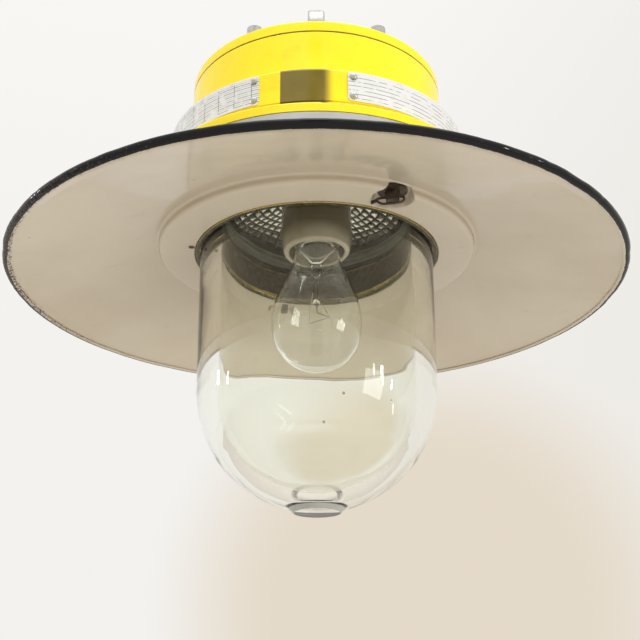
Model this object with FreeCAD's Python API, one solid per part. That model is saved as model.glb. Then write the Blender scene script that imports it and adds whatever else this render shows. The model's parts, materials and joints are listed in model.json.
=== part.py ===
"""Industrial pendant lamp of the flameproof kind: cast body, enamelled shade, glass dome, screw-cap bulb.

Every height in this file is measured from the lowest point of the shade's rim. On export each piece moves
down by HANGER_HEIGHT, so the origin is the centre of the hanging hole. +Z is up and +Y is the back, where
the cable enters.
"""
import FreeCAD, Part
import math
import os
from FreeCAD import Vector

# Driving sizes in millimetres
SHADE_R = 200.0             # over the rolled rim
RIM_BEAD_R = 2.7            # the rolled rim's own radius
SHEET = 1.2                 # enamelled sheet
OPENING_R = 80.6            # hole in the shade that the glass passes through
STEP_R = 104.2              # where the flat ring steps up to the cone
FLAT_RING_H = 22.1          # underside of the flat ring
CONE_TOP_H = 28.3           # underside of the cone at the step

DOME_R = 75.9               # outside of the dome's round end
DOME_TOP_R = 77.1           # outside of the dome at the ring: the side has a slight draft
DOME_WALL = 12.5
DOME_CENTRE_H = -70.9       # centre of the round end
DOME_SHOULDER_H = 24.2      # above it the dome is reduced, for the ring
DOME_NECK_R = 74.0
DOME_FOOT_R = 15.2          # raised disc under the dome
DOME_FOOT_H = -148.0

RING_R = 80.0               # thread of the glass ring
RING_FIT = 0.05             # running clearance round it
RING_BOTTOM_H = 21.5
RING_TOP_H = 42.0
RING_BORE_R = 76.0
LIP_R = 77.6                # inside of the ring's lip round the dome
LIP_TOP_H = 24.5

BULB_R = 30.0
BULB_CENTRE_H = -28.0
BULB_GLASS = 0.8            # wall of the envelope
BULB_SHOULDER_H = -14.1     # corner between the round body and the cone, before it is rounded
BULB_LEAN = 25.0            # degrees that the cone leans inwards
BULB_NECK_R = 15.2
BULB_CAP_R = 13.1
BULB_CAP_H = 27.0           # where the glass meets the cap
BULB_TIP_H = 54.5
STEM_BUTTON_H = -10.0
FILAMENT_H = -21.0
FILAMENT_ENDS = ((-5.0, 10.0), (0.5, -10.0))
FILAMENT_APEX = (8.5, -2.0)

NECK_BOTTOM_H = FLAT_RING_H + SHEET
NECK_R = 91.0
FOOT_R = 101.4              # the neck's foot, which the shade's flat ring bears on
FOOT_THICK = 9.0
NECK_FLANGE_THICK = 9.4
LAND_H = RING_TOP_H + 2.0   # the face that the glass gasket seals on
LEDGE_H = 54.0              # the ledge that carries the reflector
JOINT_H = 65.0              # underside of the body's flange
SEAL = 0.6                  # thickness of the seal in that joint
FLANGE_R = 112.0
BODY_FLANGE_THICK = 6.5
WALL_R = 99.0
WALL_TOP_H = 103.5
BARREL_R = 86.0
FLOOR_H = 96.0              # underside of the partition between lamp space and terminal space
PARTITION = 7.0
BARREL_TOP_H = 140.0
GLAND_H = 121.0             # axis of the cable gland

COVER_H = BARREL_TOP_H + 1.0
COVER_BOSS_H = 168.0
HANGER_HEIGHT = 198.0       # centre of the hanging hole
HANGER_HOLE_R = 11.0
HANGER_PLATE = 12.0
HANGER_EYE_R = 20.0
HANGER_SHANK_R = 8.0
HANGER_NUT = 8.0            # thickness

PLATE_BOTTOM_H = 81.5
PLATE_TOP_H = 102.0
PLATE_THICK = 1.0
PLATE_SWEEP = 85.0          # degrees round the wall
RATING_PLATE_START = 164.5  # degrees from +X, anticlockwise
NOTICE_PLATE_START = -78.9
RIVET_R = 1.2
RIVET_HEAD_R = 2.4
RIVET_INSET = 3.5           # from the plate's edge

REFLECTOR_HOLE_R = 27.5
REFLECTOR_TOP_H = 67.5
REFLECTOR_SHEET = 1.2
HOLDER_R = 23.4             # lampholder
HOLDER_MOUTH_H = 24.1
HOLDER_TOP_H = 72.0
SHELL_R = 14.2
SHELL_WALL = 0.95

GLAND_BOSS_R = 17.0
GLAND_BODY_R = 15.0
GLAND_BUSH_R = 9.4
CABLE_R = 5.5

FLANGE_BOLT_R = 105.5
FLANGE_BOLT_ANGLES = [22.5 + 45.0 * i for i in range(8)]
COVER_BOLT_R = 80.0
COVER_BOLT_ANGLES = [60.0 * i for i in range(6)]
REFLECTOR_SCREW_R = 73.0
REFLECTOR_SCREW_ANGLES = (90.0, 210.0, 330.0)
NOTCH_ANGLES = (45.0, 135.0, 225.0, 315.0)
M6_R = 3.0
M4_R = 2.0
M3_R = 1.5
LOCK_SCREW_H = 38.0
HOLDER_SCREW_X = 15.0
BRACKET_SCREW_X = 30.0
BRACKET_LEG_X = 21.0
STRAP = 2.0                 # thickness of the bracket's steel strap
LEAD_X = 10.0
LEAD_Y = -34.0
EARTH_ANGLE = 55.0          # of the outer earth screw
EARTH_H = 91.0
EARTH_INNER_R = 2.5
EARTH_INNER_XY = (40.0, 36.0)

STUD_R = 4.0
STUD_CIRCLE_R = 95.1
FRONT_STUD_ANGLE = -61.6    # this stud carries the washer and the clip
BACK_STUD_ANGLE = 109.3     # this stud is bare
STUD_ANGLES = (FRONT_STUD_ANGLE, BACK_STUD_ANGLE)
STUD_END_H = 20.5
STUD_TOP_H = 39.6
STUD_BOSS_R = 9.0           # boss on the neck's foot
STUD_BOSS_TOP_H = 42.0
POCKET_R = 12.0             # round pocket pressed up into the shade at a stud
POCKET_GAP = 0.2            # between that pocket and the recess in the neck's foot
WASHER_R = 9.0
WASHER_THICK = 1.5
CLIP_H = 23.2               # hole of the wire clip through the stud
CLIP_R = 0.8
CLIP_TURN = -38.4           # degrees that the clip is turned on its stud

TERMINAL_XS = (-18.0, 0.0, 18.0)
TERMINAL_CLAMP_Y = 6.0      # screws either side of the middle
TERMINAL_EAR_X = 36.0
TERMINAL_H = 16.0

FIT = 0.05                  # clearance round a screw in its hole
UP = Vector(0, 0, 1)
BACK = Vector(0, 1, 0)


def outline(corners):
    """Flat face in the XZ plane. Each corner is (x, z) or (x, z, radius), and the radius rounds it."""
    count = len(corners)
    entries = []
    for i, corner in enumerate(corners):
        here = Vector(corner[0], 0, corner[1])
        if len(corner) == 2:
            entries.append((here, None, here))
            continue
        before = corners[i - 1]
        after = corners[(i + 1) % count]
        back = (Vector(before[0], 0, before[1]) - here).normalize()
        ahead = (Vector(after[0], 0, after[1]) - here).normalize()
        half = back.getAngle(ahead) / 2
        reach = corner[2] / math.tan(half)
        inward = (back + ahead).normalize()
        middle = here + inward * (corner[2] / math.sin(half) - corner[2])
        entries.append((here + back * reach, middle, here + ahead * reach))
    edges = []
    for i, (start, middle, end) in enumerate(entries):
        if middle is not None:
            edges.append(Part.Arc(start, middle, end).toShape())
        following = entries[(i + 1) % count][0]
        if end.distanceToPoint(following) > 1e-6:
            edges.append(Part.makeLine(end, following))
    return Part.Face(Part.Wire(edges))


def turned(corners):
    """Solid of revolution about the lamp's axis."""
    return outline(corners).revolve(Vector(0, 0, 0), UP, 360)


def rod(radius, low, high, x=0.0, y=0.0):
    """Upright cylinder between two heights."""
    return Part.makeCylinder(radius, high - low, Vector(x, y, low), UP)


def tube(outer, inner, low, high):
    """Upright ring of rectangular section on the lamp's axis."""
    return rod(outer, low, high).cut(rod(inner, low - 1, high + 1))


def hexagon(across_flats, low, high, x=0.0, y=0.0):
    """Upright hexagonal prism."""
    corner_r = across_flats / math.sqrt(3)
    corners = [polar(corner_r, 60 * i, low) + Vector(x, y, 0) for i in range(7)]
    return Part.Face(Part.makePolygon(corners)).extrude(UP * (high - low))


def polar(radius, degrees, height=0.0):
    """Point at a radius and an angle round the lamp's axis."""
    angle = math.radians(degrees)
    return Vector(radius * math.cos(angle), radius * math.sin(angle), height)


def around(shape, angles):
    """Copies of a shape turned about the lamp's axis, as one compound of separate solids."""
    copies = []
    for angle in angles:
        copy = shape.copy()
        copy.rotate(Vector(0, 0, 0), UP, angle)
        copies.append(copy)
    return Part.makeCompound(copies)


def wire_run(points, radius):
    """Round wire through straight stretches, with ball corners."""
    run = None
    for start, end in zip(points, points[1:]):
        stretch = Part.makeCylinder(radius, start.distanceToPoint(end), start, end - start)
        run = stretch if run is None else run.fuse(stretch)
    for corner in points[1:-1]:
        run = run.fuse(Part.makeSphere(radius, corner))
    return run.removeSplitter()


# Shade and its fastening

def shade():
    """Enamelled sheet: flat ring with a pocket at each stud, small step up, shallow cone, rolled rim."""
    bead_x = SHADE_R - RIM_BEAD_R
    slope = (CONE_TOP_H - RIM_BEAD_R) / (bead_x - STEP_R)
    lift = SHEET * math.hypot(1, slope)
    sheet = turned([
        (OPENING_R, FLAT_RING_H),
        (STEP_R, FLAT_RING_H, 2.6),
        (STEP_R, CONE_TOP_H, 1.6),
        (bead_x, RIM_BEAD_R - lift / 2),
        (bead_x, RIM_BEAD_R + lift / 2),
        (STEP_R - SHEET, CONE_TOP_H + lift, 2.8),
        (STEP_R - SHEET, FLAT_RING_H + SHEET),
        (OPENING_R, FLAT_RING_H + SHEET),
    ])
    bead = Part.makeTorus(bead_x, RIM_BEAD_R, Vector(0, 0, RIM_BEAD_R), UP)
    reach = STUD_CIRCLE_R + POCKET_R + 3 * SHEET
    middle_r = STEP_R - SHEET / 2
    above_middle = turned([
        (OPENING_R, FLAT_RING_H + SHEET / 2),
        (middle_r, FLAT_RING_H + SHEET / 2),
        (middle_r, CONE_TOP_H + lift / 2),
        (reach, CONE_TOP_H + lift / 2 - slope * (reach - middle_r)),
        (reach, BARREL_TOP_H),
        (OPENING_R, BARREL_TOP_H),
    ])
    cup = rod(POCKET_R + SHEET, 0, CONE_TOP_H + SHEET, STUD_CIRCLE_R).common(above_middle)
    pocket = rod(POCKET_R, FLAT_RING_H - 1, CONE_TOP_H, STUD_CIRCLE_R)
    hole = rod(STUD_R + 0.5, CONE_TOP_H - 1, CONE_TOP_H + 2 * SHEET, STUD_CIRCLE_R)
    body = sheet.fuse(bead).fuse(around(cup, STUD_ANGLES))
    return body.cut(around(pocket.fuse(hole), STUD_ANGLES))


def shade_studs():
    """Studs screwed up into the neck, cross-drilled for their clips."""
    stud = rod(STUD_R, STUD_END_H, STUD_TOP_H, STUD_CIRCLE_R)
    drill_start = Vector(STUD_CIRCLE_R, -2 * STUD_R, CLIP_H)
    drill = Part.makeCylinder(CLIP_R + 0.2, 4 * STUD_R, drill_start, BACK)
    drill.rotate(Vector(STUD_CIRCLE_R, 0, 0), UP, CLIP_TURN)
    return around(stud.cut(drill), STUD_ANGLES)


def shade_washer():
    """Plain washer that carries the shade at the front stud."""
    washer = rod(WASHER_R, CONE_TOP_H - WASHER_THICK, CONE_TOP_H, STUD_CIRCLE_R)
    washer = washer.cut(rod(STUD_R + 0.3, 0, CONE_TOP_H + 1, STUD_CIRCLE_R))
    return around(washer, (FRONT_STUD_ANGLE,)).Solids[0]


def shade_clip():
    """Spring-wire clip: one leg through the stud, the other bowed under it, twisted together at the tail."""
    route = [
        (-13.0, -2.8),
        (-8.6, 0.0),
        (5.4, 0.0),
        (6.4, -1.2),
        (5.0, -4.0),
        (-6.0, -4.6),
        (-9.4, -2.6),
    ]
    points = [Vector(STUD_CIRCLE_R, along, CLIP_H + drop) for along, drop in route]
    clip = wire_run(points, CLIP_R).fuse(Part.makeSphere(2 * CLIP_R, points[-1]))
    clip.rotate(Vector(STUD_CIRCLE_R, 0, 0), UP, CLIP_TURN)
    return around(clip, (FRONT_STUD_ANGLE,)).Solids[0]


# Cast housings

def neck_housing():
    """Lower casting: foot for the shade, threaded bore for the glass ring, sealing land, reflector ledge."""
    flange_low = JOINT_H - SEAL - NECK_FLANGE_THICK
    neck = turned([
        (RING_R + RING_FIT, NECK_BOTTOM_H),
        (FOOT_R, NECK_BOTTOM_H),
        (FOOT_R, NECK_BOTTOM_H + FOOT_THICK, 2.0),
        (NECK_R, NECK_BOTTOM_H + FOOT_THICK, 3.0),
        (NECK_R, flange_low, 3.0),
        (FLANGE_R, flange_low, 1.0),
        (FLANGE_R, JOINT_H - SEAL),
        (86.0, JOINT_H - SEAL),
        (86.0, LEDGE_H, 1.5),
        (68.0, LEDGE_H),
        (68.0, LAND_H),
        (RING_R + RING_FIT, LAND_H),
    ])
    boss = Part.makeCylinder(6.0, 10.0, Vector(0, 86.0, LOCK_SCREW_H), BACK).cut(rod(RING_R + 3, 0, LEDGE_H))
    stud_boss = rod(STUD_BOSS_R, NECK_BOTTOM_H + 1, STUD_BOSS_TOP_H, STUD_CIRCLE_R)
    neck = neck.fuse(boss).fuse(around(stud_boss, STUD_ANGLES))
    recess_r = POCKET_R + SHEET + POCKET_GAP
    recess_top = CONE_TOP_H + SHEET + POCKET_GAP
    holes = [
        around(rod(recess_r, NECK_BOTTOM_H - 1, recess_top, STUD_CIRCLE_R), STUD_ANGLES),
        around(rod(M6_R + FIT, flange_low - 1, JOINT_H, FLANGE_BOLT_R), FLANGE_BOLT_ANGLES),
        around(rod(STUD_R + FIT, NECK_BOTTOM_H - 1, STUD_TOP_H + 0.4, STUD_CIRCLE_R), STUD_ANGLES),
        around(rod(M3_R + FIT, LEDGE_H - 5.4, LEDGE_H + 1, REFLECTOR_SCREW_R), REFLECTOR_SCREW_ANGLES),
        Part.makeCylinder(M6_R + FIT, 30.0, Vector(0, 75.0, LOCK_SCREW_H), BACK),
    ]
    for hole in holes:
        neck = neck.cut(hole)
    return neck


def flange_seal():
    """Thin flat seal between the two flanges."""
    seal = tube(110.6, 93.0, JOINT_H - SEAL, JOINT_H)
    return seal.cut(around(rod(M6_R + 0.3, 0, JOINT_H + 1, FLANGE_BOLT_R), FLANGE_BOLT_ANGLES))


def flange_bolts():
    """Hexagon bolts that clamp the neck to the body from below."""
    head_top = JOINT_H - SEAL - NECK_FLANGE_THICK
    bolt = hexagon(10.0, head_top - 4.0, head_top, FLANGE_BOLT_R)
    bolt = bolt.fuse(rod(M6_R, head_top - 1, JOINT_H + 5.2, FLANGE_BOLT_R))
    return around(bolt, FLANGE_BOLT_ANGLES)


def lamp_body():
    """Upper casting: flange, wall for the label plates, barrel with the terminal space, gland boss."""
    floor_top = FLOOR_H + PARTITION
    body = turned([
        (0, FLOOR_H),
        (92.0, FLOOR_H, 5.0),
        (92.0, JOINT_H),
        (FLANGE_R, JOINT_H),
        (FLANGE_R, JOINT_H + BODY_FLANGE_THICK, 1.5),
        (WALL_R, JOINT_H + BODY_FLANGE_THICK, 2.5),
        (WALL_R, PLATE_BOTTOM_H - 2.0),
        (WALL_R - 0.8, PLATE_BOTTOM_H - 1.7),
        (WALL_R - 0.8, PLATE_BOTTOM_H - 1.1),
        (WALL_R, PLATE_BOTTOM_H - 0.8),
        (WALL_R, WALL_TOP_H, 2.5),
        (BARREL_R, WALL_TOP_H + 4.0, 4.0),
        (BARREL_R, BARREL_TOP_H),
        (74.0, BARREL_TOP_H),
        (74.0, floor_top, 4.0),
        (0, floor_top),
    ])
    gland_boss = Part.makeCylinder(GLAND_BOSS_R, 28.0, Vector(0, 78.0, GLAND_H), BACK)
    gland_boss = gland_boss.makeFillet(1.5, [gland_boss.Edges[0]])
    body = body.fuse(gland_boss.cut(rod(74.0, 0, BARREL_TOP_H)))
    earth_way = polar(1, EARTH_ANGLE)
    body = body.fuse(Part.makeCylinder(8.0, 8.0, polar(95.0, EARTH_ANGLE, EARTH_H), earth_way))
    holes = [
        Part.makeCylinder(12.5, 50.0, Vector(0, 60.0, GLAND_H), BACK),
        around(rod(M6_R + FIT, JOINT_H - 1, JOINT_H + 5.5, FLANGE_BOLT_R), FLANGE_BOLT_ANGLES),
        around(rod(M6_R + FIT, BARREL_TOP_H - 16, BARREL_TOP_H + 1, COVER_BOLT_R), COVER_BOLT_ANGLES),
        rod(5.0 + FIT, FLOOR_H - 1, floor_top + 1, LEAD_X, LEAD_Y),
        rod(5.0 + FIT, FLOOR_H - 1, floor_top + 1, -LEAD_X, LEAD_Y),
        rod(M4_R + FIT, FLOOR_H - 1, FLOOR_H + 5, BRACKET_SCREW_X),
        rod(M4_R + FIT, FLOOR_H - 1, FLOOR_H + 5, -BRACKET_SCREW_X),
        rod(EARTH_INNER_R + FIT, FLOOR_H + 2, floor_top + 1, *EARTH_INNER_XY),
        rod(M4_R + FIT, FLOOR_H + 2, floor_top + 1, TERMINAL_EAR_X),
        rod(M4_R + FIT, FLOOR_H + 2, floor_top + 1, -TERMINAL_EAR_X),
        Part.makeCylinder(M6_R + FIT, 10.0, polar(94.5, EARTH_ANGLE, EARTH_H), earth_way),
    ]
    for hole in holes:
        body = body.cut(hole)
    for angle in rivet_angles():
        body = body.cut(rivet_pin(angle, RIVET_R + FIT))
    return body


# Label plates, blank

def curved_plate(start):
    """Blank plate bent round the wall."""
    band = tube(WALL_R + PLATE_THICK, WALL_R, PLATE_BOTTOM_H, PLATE_TOP_H)
    wedge = outline([(50, 0), (150, 0), (150, 150), (50, 150)]).revolve(Vector(0, 0, 0), UP, PLATE_SWEEP)
    wedge.rotate(Vector(0, 0, 0), UP, start)
    plate = band.common(wedge)
    for angle in rivet_angles(start):
        for height in rivet_heights():
            plate = plate.cut(radial_rod(RIVET_R + FIT, 95.0, 105.0, angle, height))
    return plate


def radial_rod(radius, inner, outer, angle, height):
    """Cylinder that points away from the lamp's axis."""
    return Part.makeCylinder(radius, outer - inner, polar(inner, angle, height), polar(1, angle))


def rivet_angles(start=None):
    """Angles of the rivets of one plate, or of both."""
    starts = (RATING_PLATE_START, NOTICE_PLATE_START) if start is None else (start,)
    inset = math.degrees(RIVET_INSET / WALL_R)
    angles = []
    for first in starts:
        angles += [first + inset, first + PLATE_SWEEP - inset]
    return angles


def rivet_heights():
    """Heights of the two rows of rivets."""
    return (PLATE_BOTTOM_H + RIVET_INSET, PLATE_TOP_H - RIVET_INSET)


def rivet_pin(angle, radius):
    """Shanks of the two rivets at one angle, as one compound."""
    shanks = [radial_rod(radius, WALL_R - 4.0, WALL_R + 2.0, angle, height) for height in rivet_heights()]
    return Part.makeCompound(shanks)


def plate_rivets():
    """Round-headed drive rivets at the plates' corners."""
    rivets = []
    for angle in rivet_angles():
        for height in rivet_heights():
            shank = radial_rod(RIVET_R, WALL_R - 3.8, WALL_R + PLATE_THICK + 0.4, angle, height)
            centre = polar(WALL_R + PLATE_THICK - 1.2, angle, height)
            ball = Part.makeSphere(math.hypot(RIVET_HEAD_R, 1.4), centre)
            head_low = WALL_R + PLATE_THICK + 0.15
            head_space = radial_rod(RIVET_HEAD_R, head_low, WALL_R + 6, angle, height)
            rivets.append(shank.fuse(ball.common(head_space)))
    return Part.makeCompound(rivets)


def rating_plate():
    return curved_plate(RATING_PLATE_START)


def notice_plate():
    return curved_plate(NOTICE_PLATE_START)


# Top cover and hanging lug

def terminal_cover():
    """Domed cast cover with a boss for the hanging lug."""
    cover = turned([
        (0, 152.0),
        (48.0, 152.0, 8.0),
        (72.0, COVER_H + 3.0, 6.0),
        (72.0, COVER_H),
        (BARREL_R, COVER_H),
        (BARREL_R, COVER_H + 8.0, 2.0),
        (70.0, COVER_H + 8.0, 8.0),
        (52.0, 159.0, 14.0),
        (19.0, 161.0, 5.0),
        (18.0, COVER_BOSS_H, 1.2),
        (0, COVER_BOSS_H),
    ])
    spot = rod(6.6, COVER_H + 7.0, COVER_H + 20.0, COVER_BOLT_R)
    cover = cover.cut(around(spot, COVER_BOLT_ANGLES))
    bolt_hole = rod(M6_R + 0.3, COVER_H - 1, COVER_H + 20, COVER_BOLT_R)
    cover = cover.cut(around(bolt_hole, COVER_BOLT_ANGLES))
    return cover.cut(rod(HANGER_SHANK_R + FIT, 156.5, COVER_BOSS_H + 1))


def cover_gasket():
    """Flat gasket under the cover."""
    gasket = tube(BARREL_R - 0.5, 74.5, BARREL_TOP_H, COVER_H)
    return gasket.cut(around(rod(M6_R + 0.3, 0, COVER_H + 1, COVER_BOLT_R), COVER_BOLT_ANGLES))


def cover_bolts():
    """Socket-head bolts of the cover."""
    seat = COVER_H + 7.0
    shank = rod(M6_R, BARREL_TOP_H - 14, seat + 1, COVER_BOLT_R)
    bolt = rod(5.0, seat, seat + 6.0, COVER_BOLT_R).fuse(shank)
    bolt = bolt.cut(hexagon(5.0, seat + 3.0, seat + 7.0, COVER_BOLT_R))
    return around(bolt, COVER_BOLT_ANGLES)


def hanger_lug():
    """Flat eye on a collar and a threaded shank. The hanging hole runs along X."""
    collar_h = COVER_BOSS_H + HANGER_NUT
    half = HANGER_PLATE / 2
    along_x = Vector(1, 0, 0)
    start = Vector(-half, 0, HANGER_HEIGHT)
    eye = Part.makeCylinder(HANGER_EYE_R, HANGER_PLATE, start, along_x)
    eye = eye.makeFillet(2.0, [edge for edge in eye.Edges if edge.Length > 2 * HANGER_EYE_R])
    lug = eye.fuse(turned([
        (0, 157.0),
        (HANGER_SHANK_R, 157.0),
        (HANGER_SHANK_R, collar_h),
        (13.0, collar_h),
        (13.0, collar_h + 3.0, 1.0),
        (7.0, collar_h + 7.0, 2.0),
        (0, collar_h + 7.0),
    ]))
    hole = Part.makeCylinder(HANGER_HOLE_R, 3 * HANGER_PLATE, start - along_x * half, along_x)
    return lug.cut(hole)


def hanger_nut():
    """Lock nut between the cover's boss and the lug's collar."""
    nut = hexagon(24.0, COVER_BOSS_H, COVER_BOSS_H + HANGER_NUT)
    return nut.cut(rod(HANGER_SHANK_R + FIT, COVER_BOSS_H - 1, COVER_BOSS_H + HANGER_NUT + 1))


# Cable gland, on an axis that points to the back

def gland_turned(corners):
    """Solid of revolution about the gland's axis: each corner is (radius, distance back)."""
    shape = outline(corners).revolve(Vector(0, 0, 0), UP, 360)
    shape.rotate(Vector(0, 0, 0), Vector(1, 0, 0), -90)
    shape.translate(Vector(0, 0, GLAND_H))
    return shape


def gland_hexagon(across_flats, near, far):
    """Hexagonal prism on the gland's axis."""
    prism = hexagon(across_flats, near, far)
    prism.rotate(Vector(0, 0, 0), Vector(1, 0, 0), -90)
    prism.translate(Vector(0, 0, GLAND_H))
    return prism


def gland_body():
    """Hollow body screwed into the boss, with a thread for the nut."""
    bush_seat_r = GLAND_BUSH_R + 0.1
    body = gland_turned([
        (5.9, 80.0),
        (12.4, 80.0),
        (12.4, 108.0),
        (GLAND_BODY_R, 108.0),
        (GLAND_BODY_R, 123.4),
        (bush_seat_r, 123.4),
        (bush_seat_r, 110.0),
        (5.9, 108.0),
    ])
    inside = gland_turned([(0, 100.0), (12.0, 100.0), (12.0, 115.0), (0, 115.0)])
    return body.fuse(gland_hexagon(32.0, 106.0, 112.0).cut(inside))


def gland_bush():
    """Rubber bush that grips the cable."""
    return gland_turned([(CABLE_R, 110.2), (GLAND_BUSH_R, 110.2), (GLAND_BUSH_R, 124.0), (CABLE_R, 124.0)])


def gland_washer():
    """Steel washer between the bush and the nut."""
    return gland_turned([(6.5, 124.0), (GLAND_BUSH_R, 124.0), (GLAND_BUSH_R, 126.0), (6.5, 126.0)])


def gland_nut():
    """Cap nut."""
    thread_r = GLAND_BODY_R + FIT
    rounded_off = gland_turned([
        (0, 113.0),
        (19.5, 113.0),
        (20.4, 114.5),
        (20.4, 128.5),
        (18.5, 130.0),
        (0, 130.0),
    ])
    inside = gland_turned([(0, 110.0), (thread_r, 110.0), (thread_r, 124.6), (9.6, 126.0), (0, 126.0)])
    mouth = gland_turned([(0, 125.0), (7.0, 125.0), (7.0, 135.0), (0, 135.0)])
    return gland_hexagon(36.0, 113.0, 130.0).common(rounded_off).cut(inside).cut(mouth)


# Terminal space

def terminal_block():
    """Moulded block with three cells and two fixing ears."""
    low = FLOOR_H + PARTITION
    block = Part.makeBox(60, 24, TERMINAL_H, Vector(-30, -12, low))
    ears = Part.makeBox(84, 14, 4, Vector(-42, -7, low))
    block = block.fuse(ears)
    for x in TERMINAL_XS:
        block = block.cut(Part.makeBox(10.2, 20.2, 20, Vector(x - 5.1, -10.1, low + 6)))
        block = block.cut(Part.makeCylinder(2.0, 40, Vector(x, -20, low + 10), BACK))
    for x in (-TERMINAL_EAR_X, TERMINAL_EAR_X):
        block = block.cut(rod(2.3, low - 1, low + 5, x))
    return block


def terminal_clamps():
    """Brass blocks in the cells."""
    low = FLOOR_H + PARTITION + 6.0
    clamps = []
    for x in TERMINAL_XS:
        clamp = Part.makeBox(10, 20, 8, Vector(x - 5, -10, low))
        clamp = clamp.cut(Part.makeCylinder(2.0, 40, Vector(x, -20, low + 4), BACK))
        for y in (-TERMINAL_CLAMP_Y, TERMINAL_CLAMP_Y):
            clamp = clamp.cut(rod(M3_R + FIT, low + 4, low + 9, x, y))
        clamps.append(clamp)
    return Part.makeCompound(clamps)


def terminal_screws():
    """Six clamp screws and the two screws that hold the block down."""
    low = FLOOR_H + PARTITION + 6.0
    screws = []
    for x in TERMINAL_XS:
        for y in (-TERMINAL_CLAMP_Y, TERMINAL_CLAMP_Y):
            screws.append(slotted_screw(M3_R, 2.6, low + 6.0, low + 8.2, low + 10.0, x, y))
    for x in (-TERMINAL_EAR_X, TERMINAL_EAR_X):
        head_h = FLOOR_H + PARTITION + 4.0
        screws.append(slotted_screw(M4_R, 4.0, FLOOR_H + 2.6, head_h, head_h + 2.6, x))
    return Part.makeCompound(screws)


def slotted_screw(radius, head_r, tip, seat, top, x=0.0, y=0.0):
    """Cheese-head screw with its head up."""
    screw = rod(radius, tip, seat + 0.1, x, y).fuse(rod(head_r, seat, top, x, y))
    slot_start = Vector(x - 1.5 * head_r, y - 0.125 * head_r, top - 0.9)
    slot = Part.makeBox(3 * head_r, 0.25 * head_r, 2.0, slot_start)
    return screw.cut(slot)


def lead_bushings():
    """Insulating bushings sealed into the partition."""
    low = FLOOR_H - 4.0
    high = FLOOR_H + PARTITION + 4.0
    bushings = []
    for x in (-LEAD_X, LEAD_X):
        collar = rod(7.0, FLOOR_H + PARTITION, high - 1.5, x, LEAD_Y)
        bushing = rod(5.0, low, high, x, LEAD_Y).fuse(collar)
        bushings.append(bushing.cut(rod(1.25, low - 1, high + 1, x, LEAD_Y)))
    return Part.makeCompound(bushings)


def lead_wires():
    """Two insulated leads from the terminal block down to the lampholder."""
    wire_h = FLOOR_H + PARTITION + 10.0
    leads = []
    for side in (-1, 1):
        leads.append(wire_run([
            Vector(side * 18.0, -11.0, wire_h),
            Vector(side * 18.0, -24.0, wire_h),
            Vector(side * LEAD_X, LEAD_Y, wire_h),
            Vector(side * LEAD_X, LEAD_Y, 84.0),
            Vector(side * 8.0, -18.0, HOLDER_TOP_H + 8.0),
            Vector(side * 8.0, -18.0, HOLDER_TOP_H),
        ], 1.2))
    return Part.makeCompound(leads)


def earth_screw_inner():
    """Earth screw on the terminal space's floor."""
    floor_top = FLOOR_H + PARTITION
    return slotted_screw(EARTH_INNER_R, 5.0, FLOOR_H + 2.6, floor_top, floor_top + 3.2, *EARTH_INNER_XY)


def earth_screw_outer():
    """Earth bolt and clamping washer on the outside."""
    washer = radial_rod(7.0, 103.0, 104.2, EARTH_ANGLE, EARTH_H)
    shank = radial_rod(M6_R, 95.0, 105.0, EARTH_ANGLE, EARTH_H)
    head = hexagon(10.0, 104.2, 108.2)
    head.rotate(Vector(0, 0, 0), BACK, 90)
    head.rotate(Vector(0, 0, 0), UP, EARTH_ANGLE)
    head.translate(Vector(0, 0, EARTH_H))
    return washer.fuse(shank).fuse(head)


# Reflector

def reflector():
    """Dished sheet round the lampholder, with a flat rim that is screwed to the ledge."""
    low = LEDGE_H + 1.0
    dish = turned([
        (84.0, low),
        (84.0, low + REFLECTOR_SHEET),
        (67.0, low + REFLECTOR_SHEET, 4.0),
        (REFLECTOR_HOLE_R, REFLECTOR_TOP_H + REFLECTOR_SHEET),
        (REFLECTOR_HOLE_R, REFLECTOR_TOP_H),
        (66.0, low, 5.0),
    ])
    return dish.cut(around(rod(1.8, low - 1, low + 3, REFLECTOR_SCREW_R), REFLECTOR_SCREW_ANGLES))


def reflector_ring():
    """Ring in the land's bore with two fine ridges, and a flange under the reflector's rim."""
    ridge_r = 62.8
    ring = turned([
        (67.9, 45.0),
        (67.9, LEDGE_H),
        (77.0, LEDGE_H),
        (77.0, LEDGE_H + 1.0),
        (63.8, LEDGE_H + 1.0),
        (63.8, 51.4),
        (ridge_r, 50.8, 0.4),
        (63.8, 50.2),
        (63.8, 48.0),
        (ridge_r, 47.4, 0.4),
        (63.8, 46.8),
        (63.8, 45.0),
    ])
    return ring.cut(around(rod(1.8, LEDGE_H - 1, LEDGE_H + 2, REFLECTOR_SCREW_R), REFLECTOR_SCREW_ANGLES))


def reflector_screws():
    """Small screws of the reflector's rim."""
    seat = LEDGE_H + 1.0 + REFLECTOR_SHEET
    screw = slotted_screw(M3_R, 3.0, LEDGE_H - 5.0, seat, seat + 2.0, REFLECTOR_SCREW_R)
    return around(screw, REFLECTOR_SCREW_ANGLES)


# Lampholder

def lampholder():
    """Porcelain body with a flared mouth, a seat for the shell and a guide for the centre contact."""
    body = turned([
        (18.2, HOLDER_MOUTH_H, 1.2),
        (21.6, HOLDER_MOUTH_H, 2.0),
        (HOLDER_R, HOLDER_MOUTH_H + 9.8, 8.0),
        (HOLDER_R, HOLDER_TOP_H, 1.5),
        (2.08, HOLDER_TOP_H),
        (2.08, 63.5),
        (8.0, 63.5),
        (8.0, 57.0),
        (SHELL_R + 0.1, 57.0),
        (SHELL_R + 0.1, 33.5),
        (16.6, 32.0),
    ])
    for x in (-HOLDER_SCREW_X, HOLDER_SCREW_X):
        body = body.cut(rod(M4_R + FIT, HOLDER_TOP_H - 7, HOLDER_TOP_H + 1, x))
    return body


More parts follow.
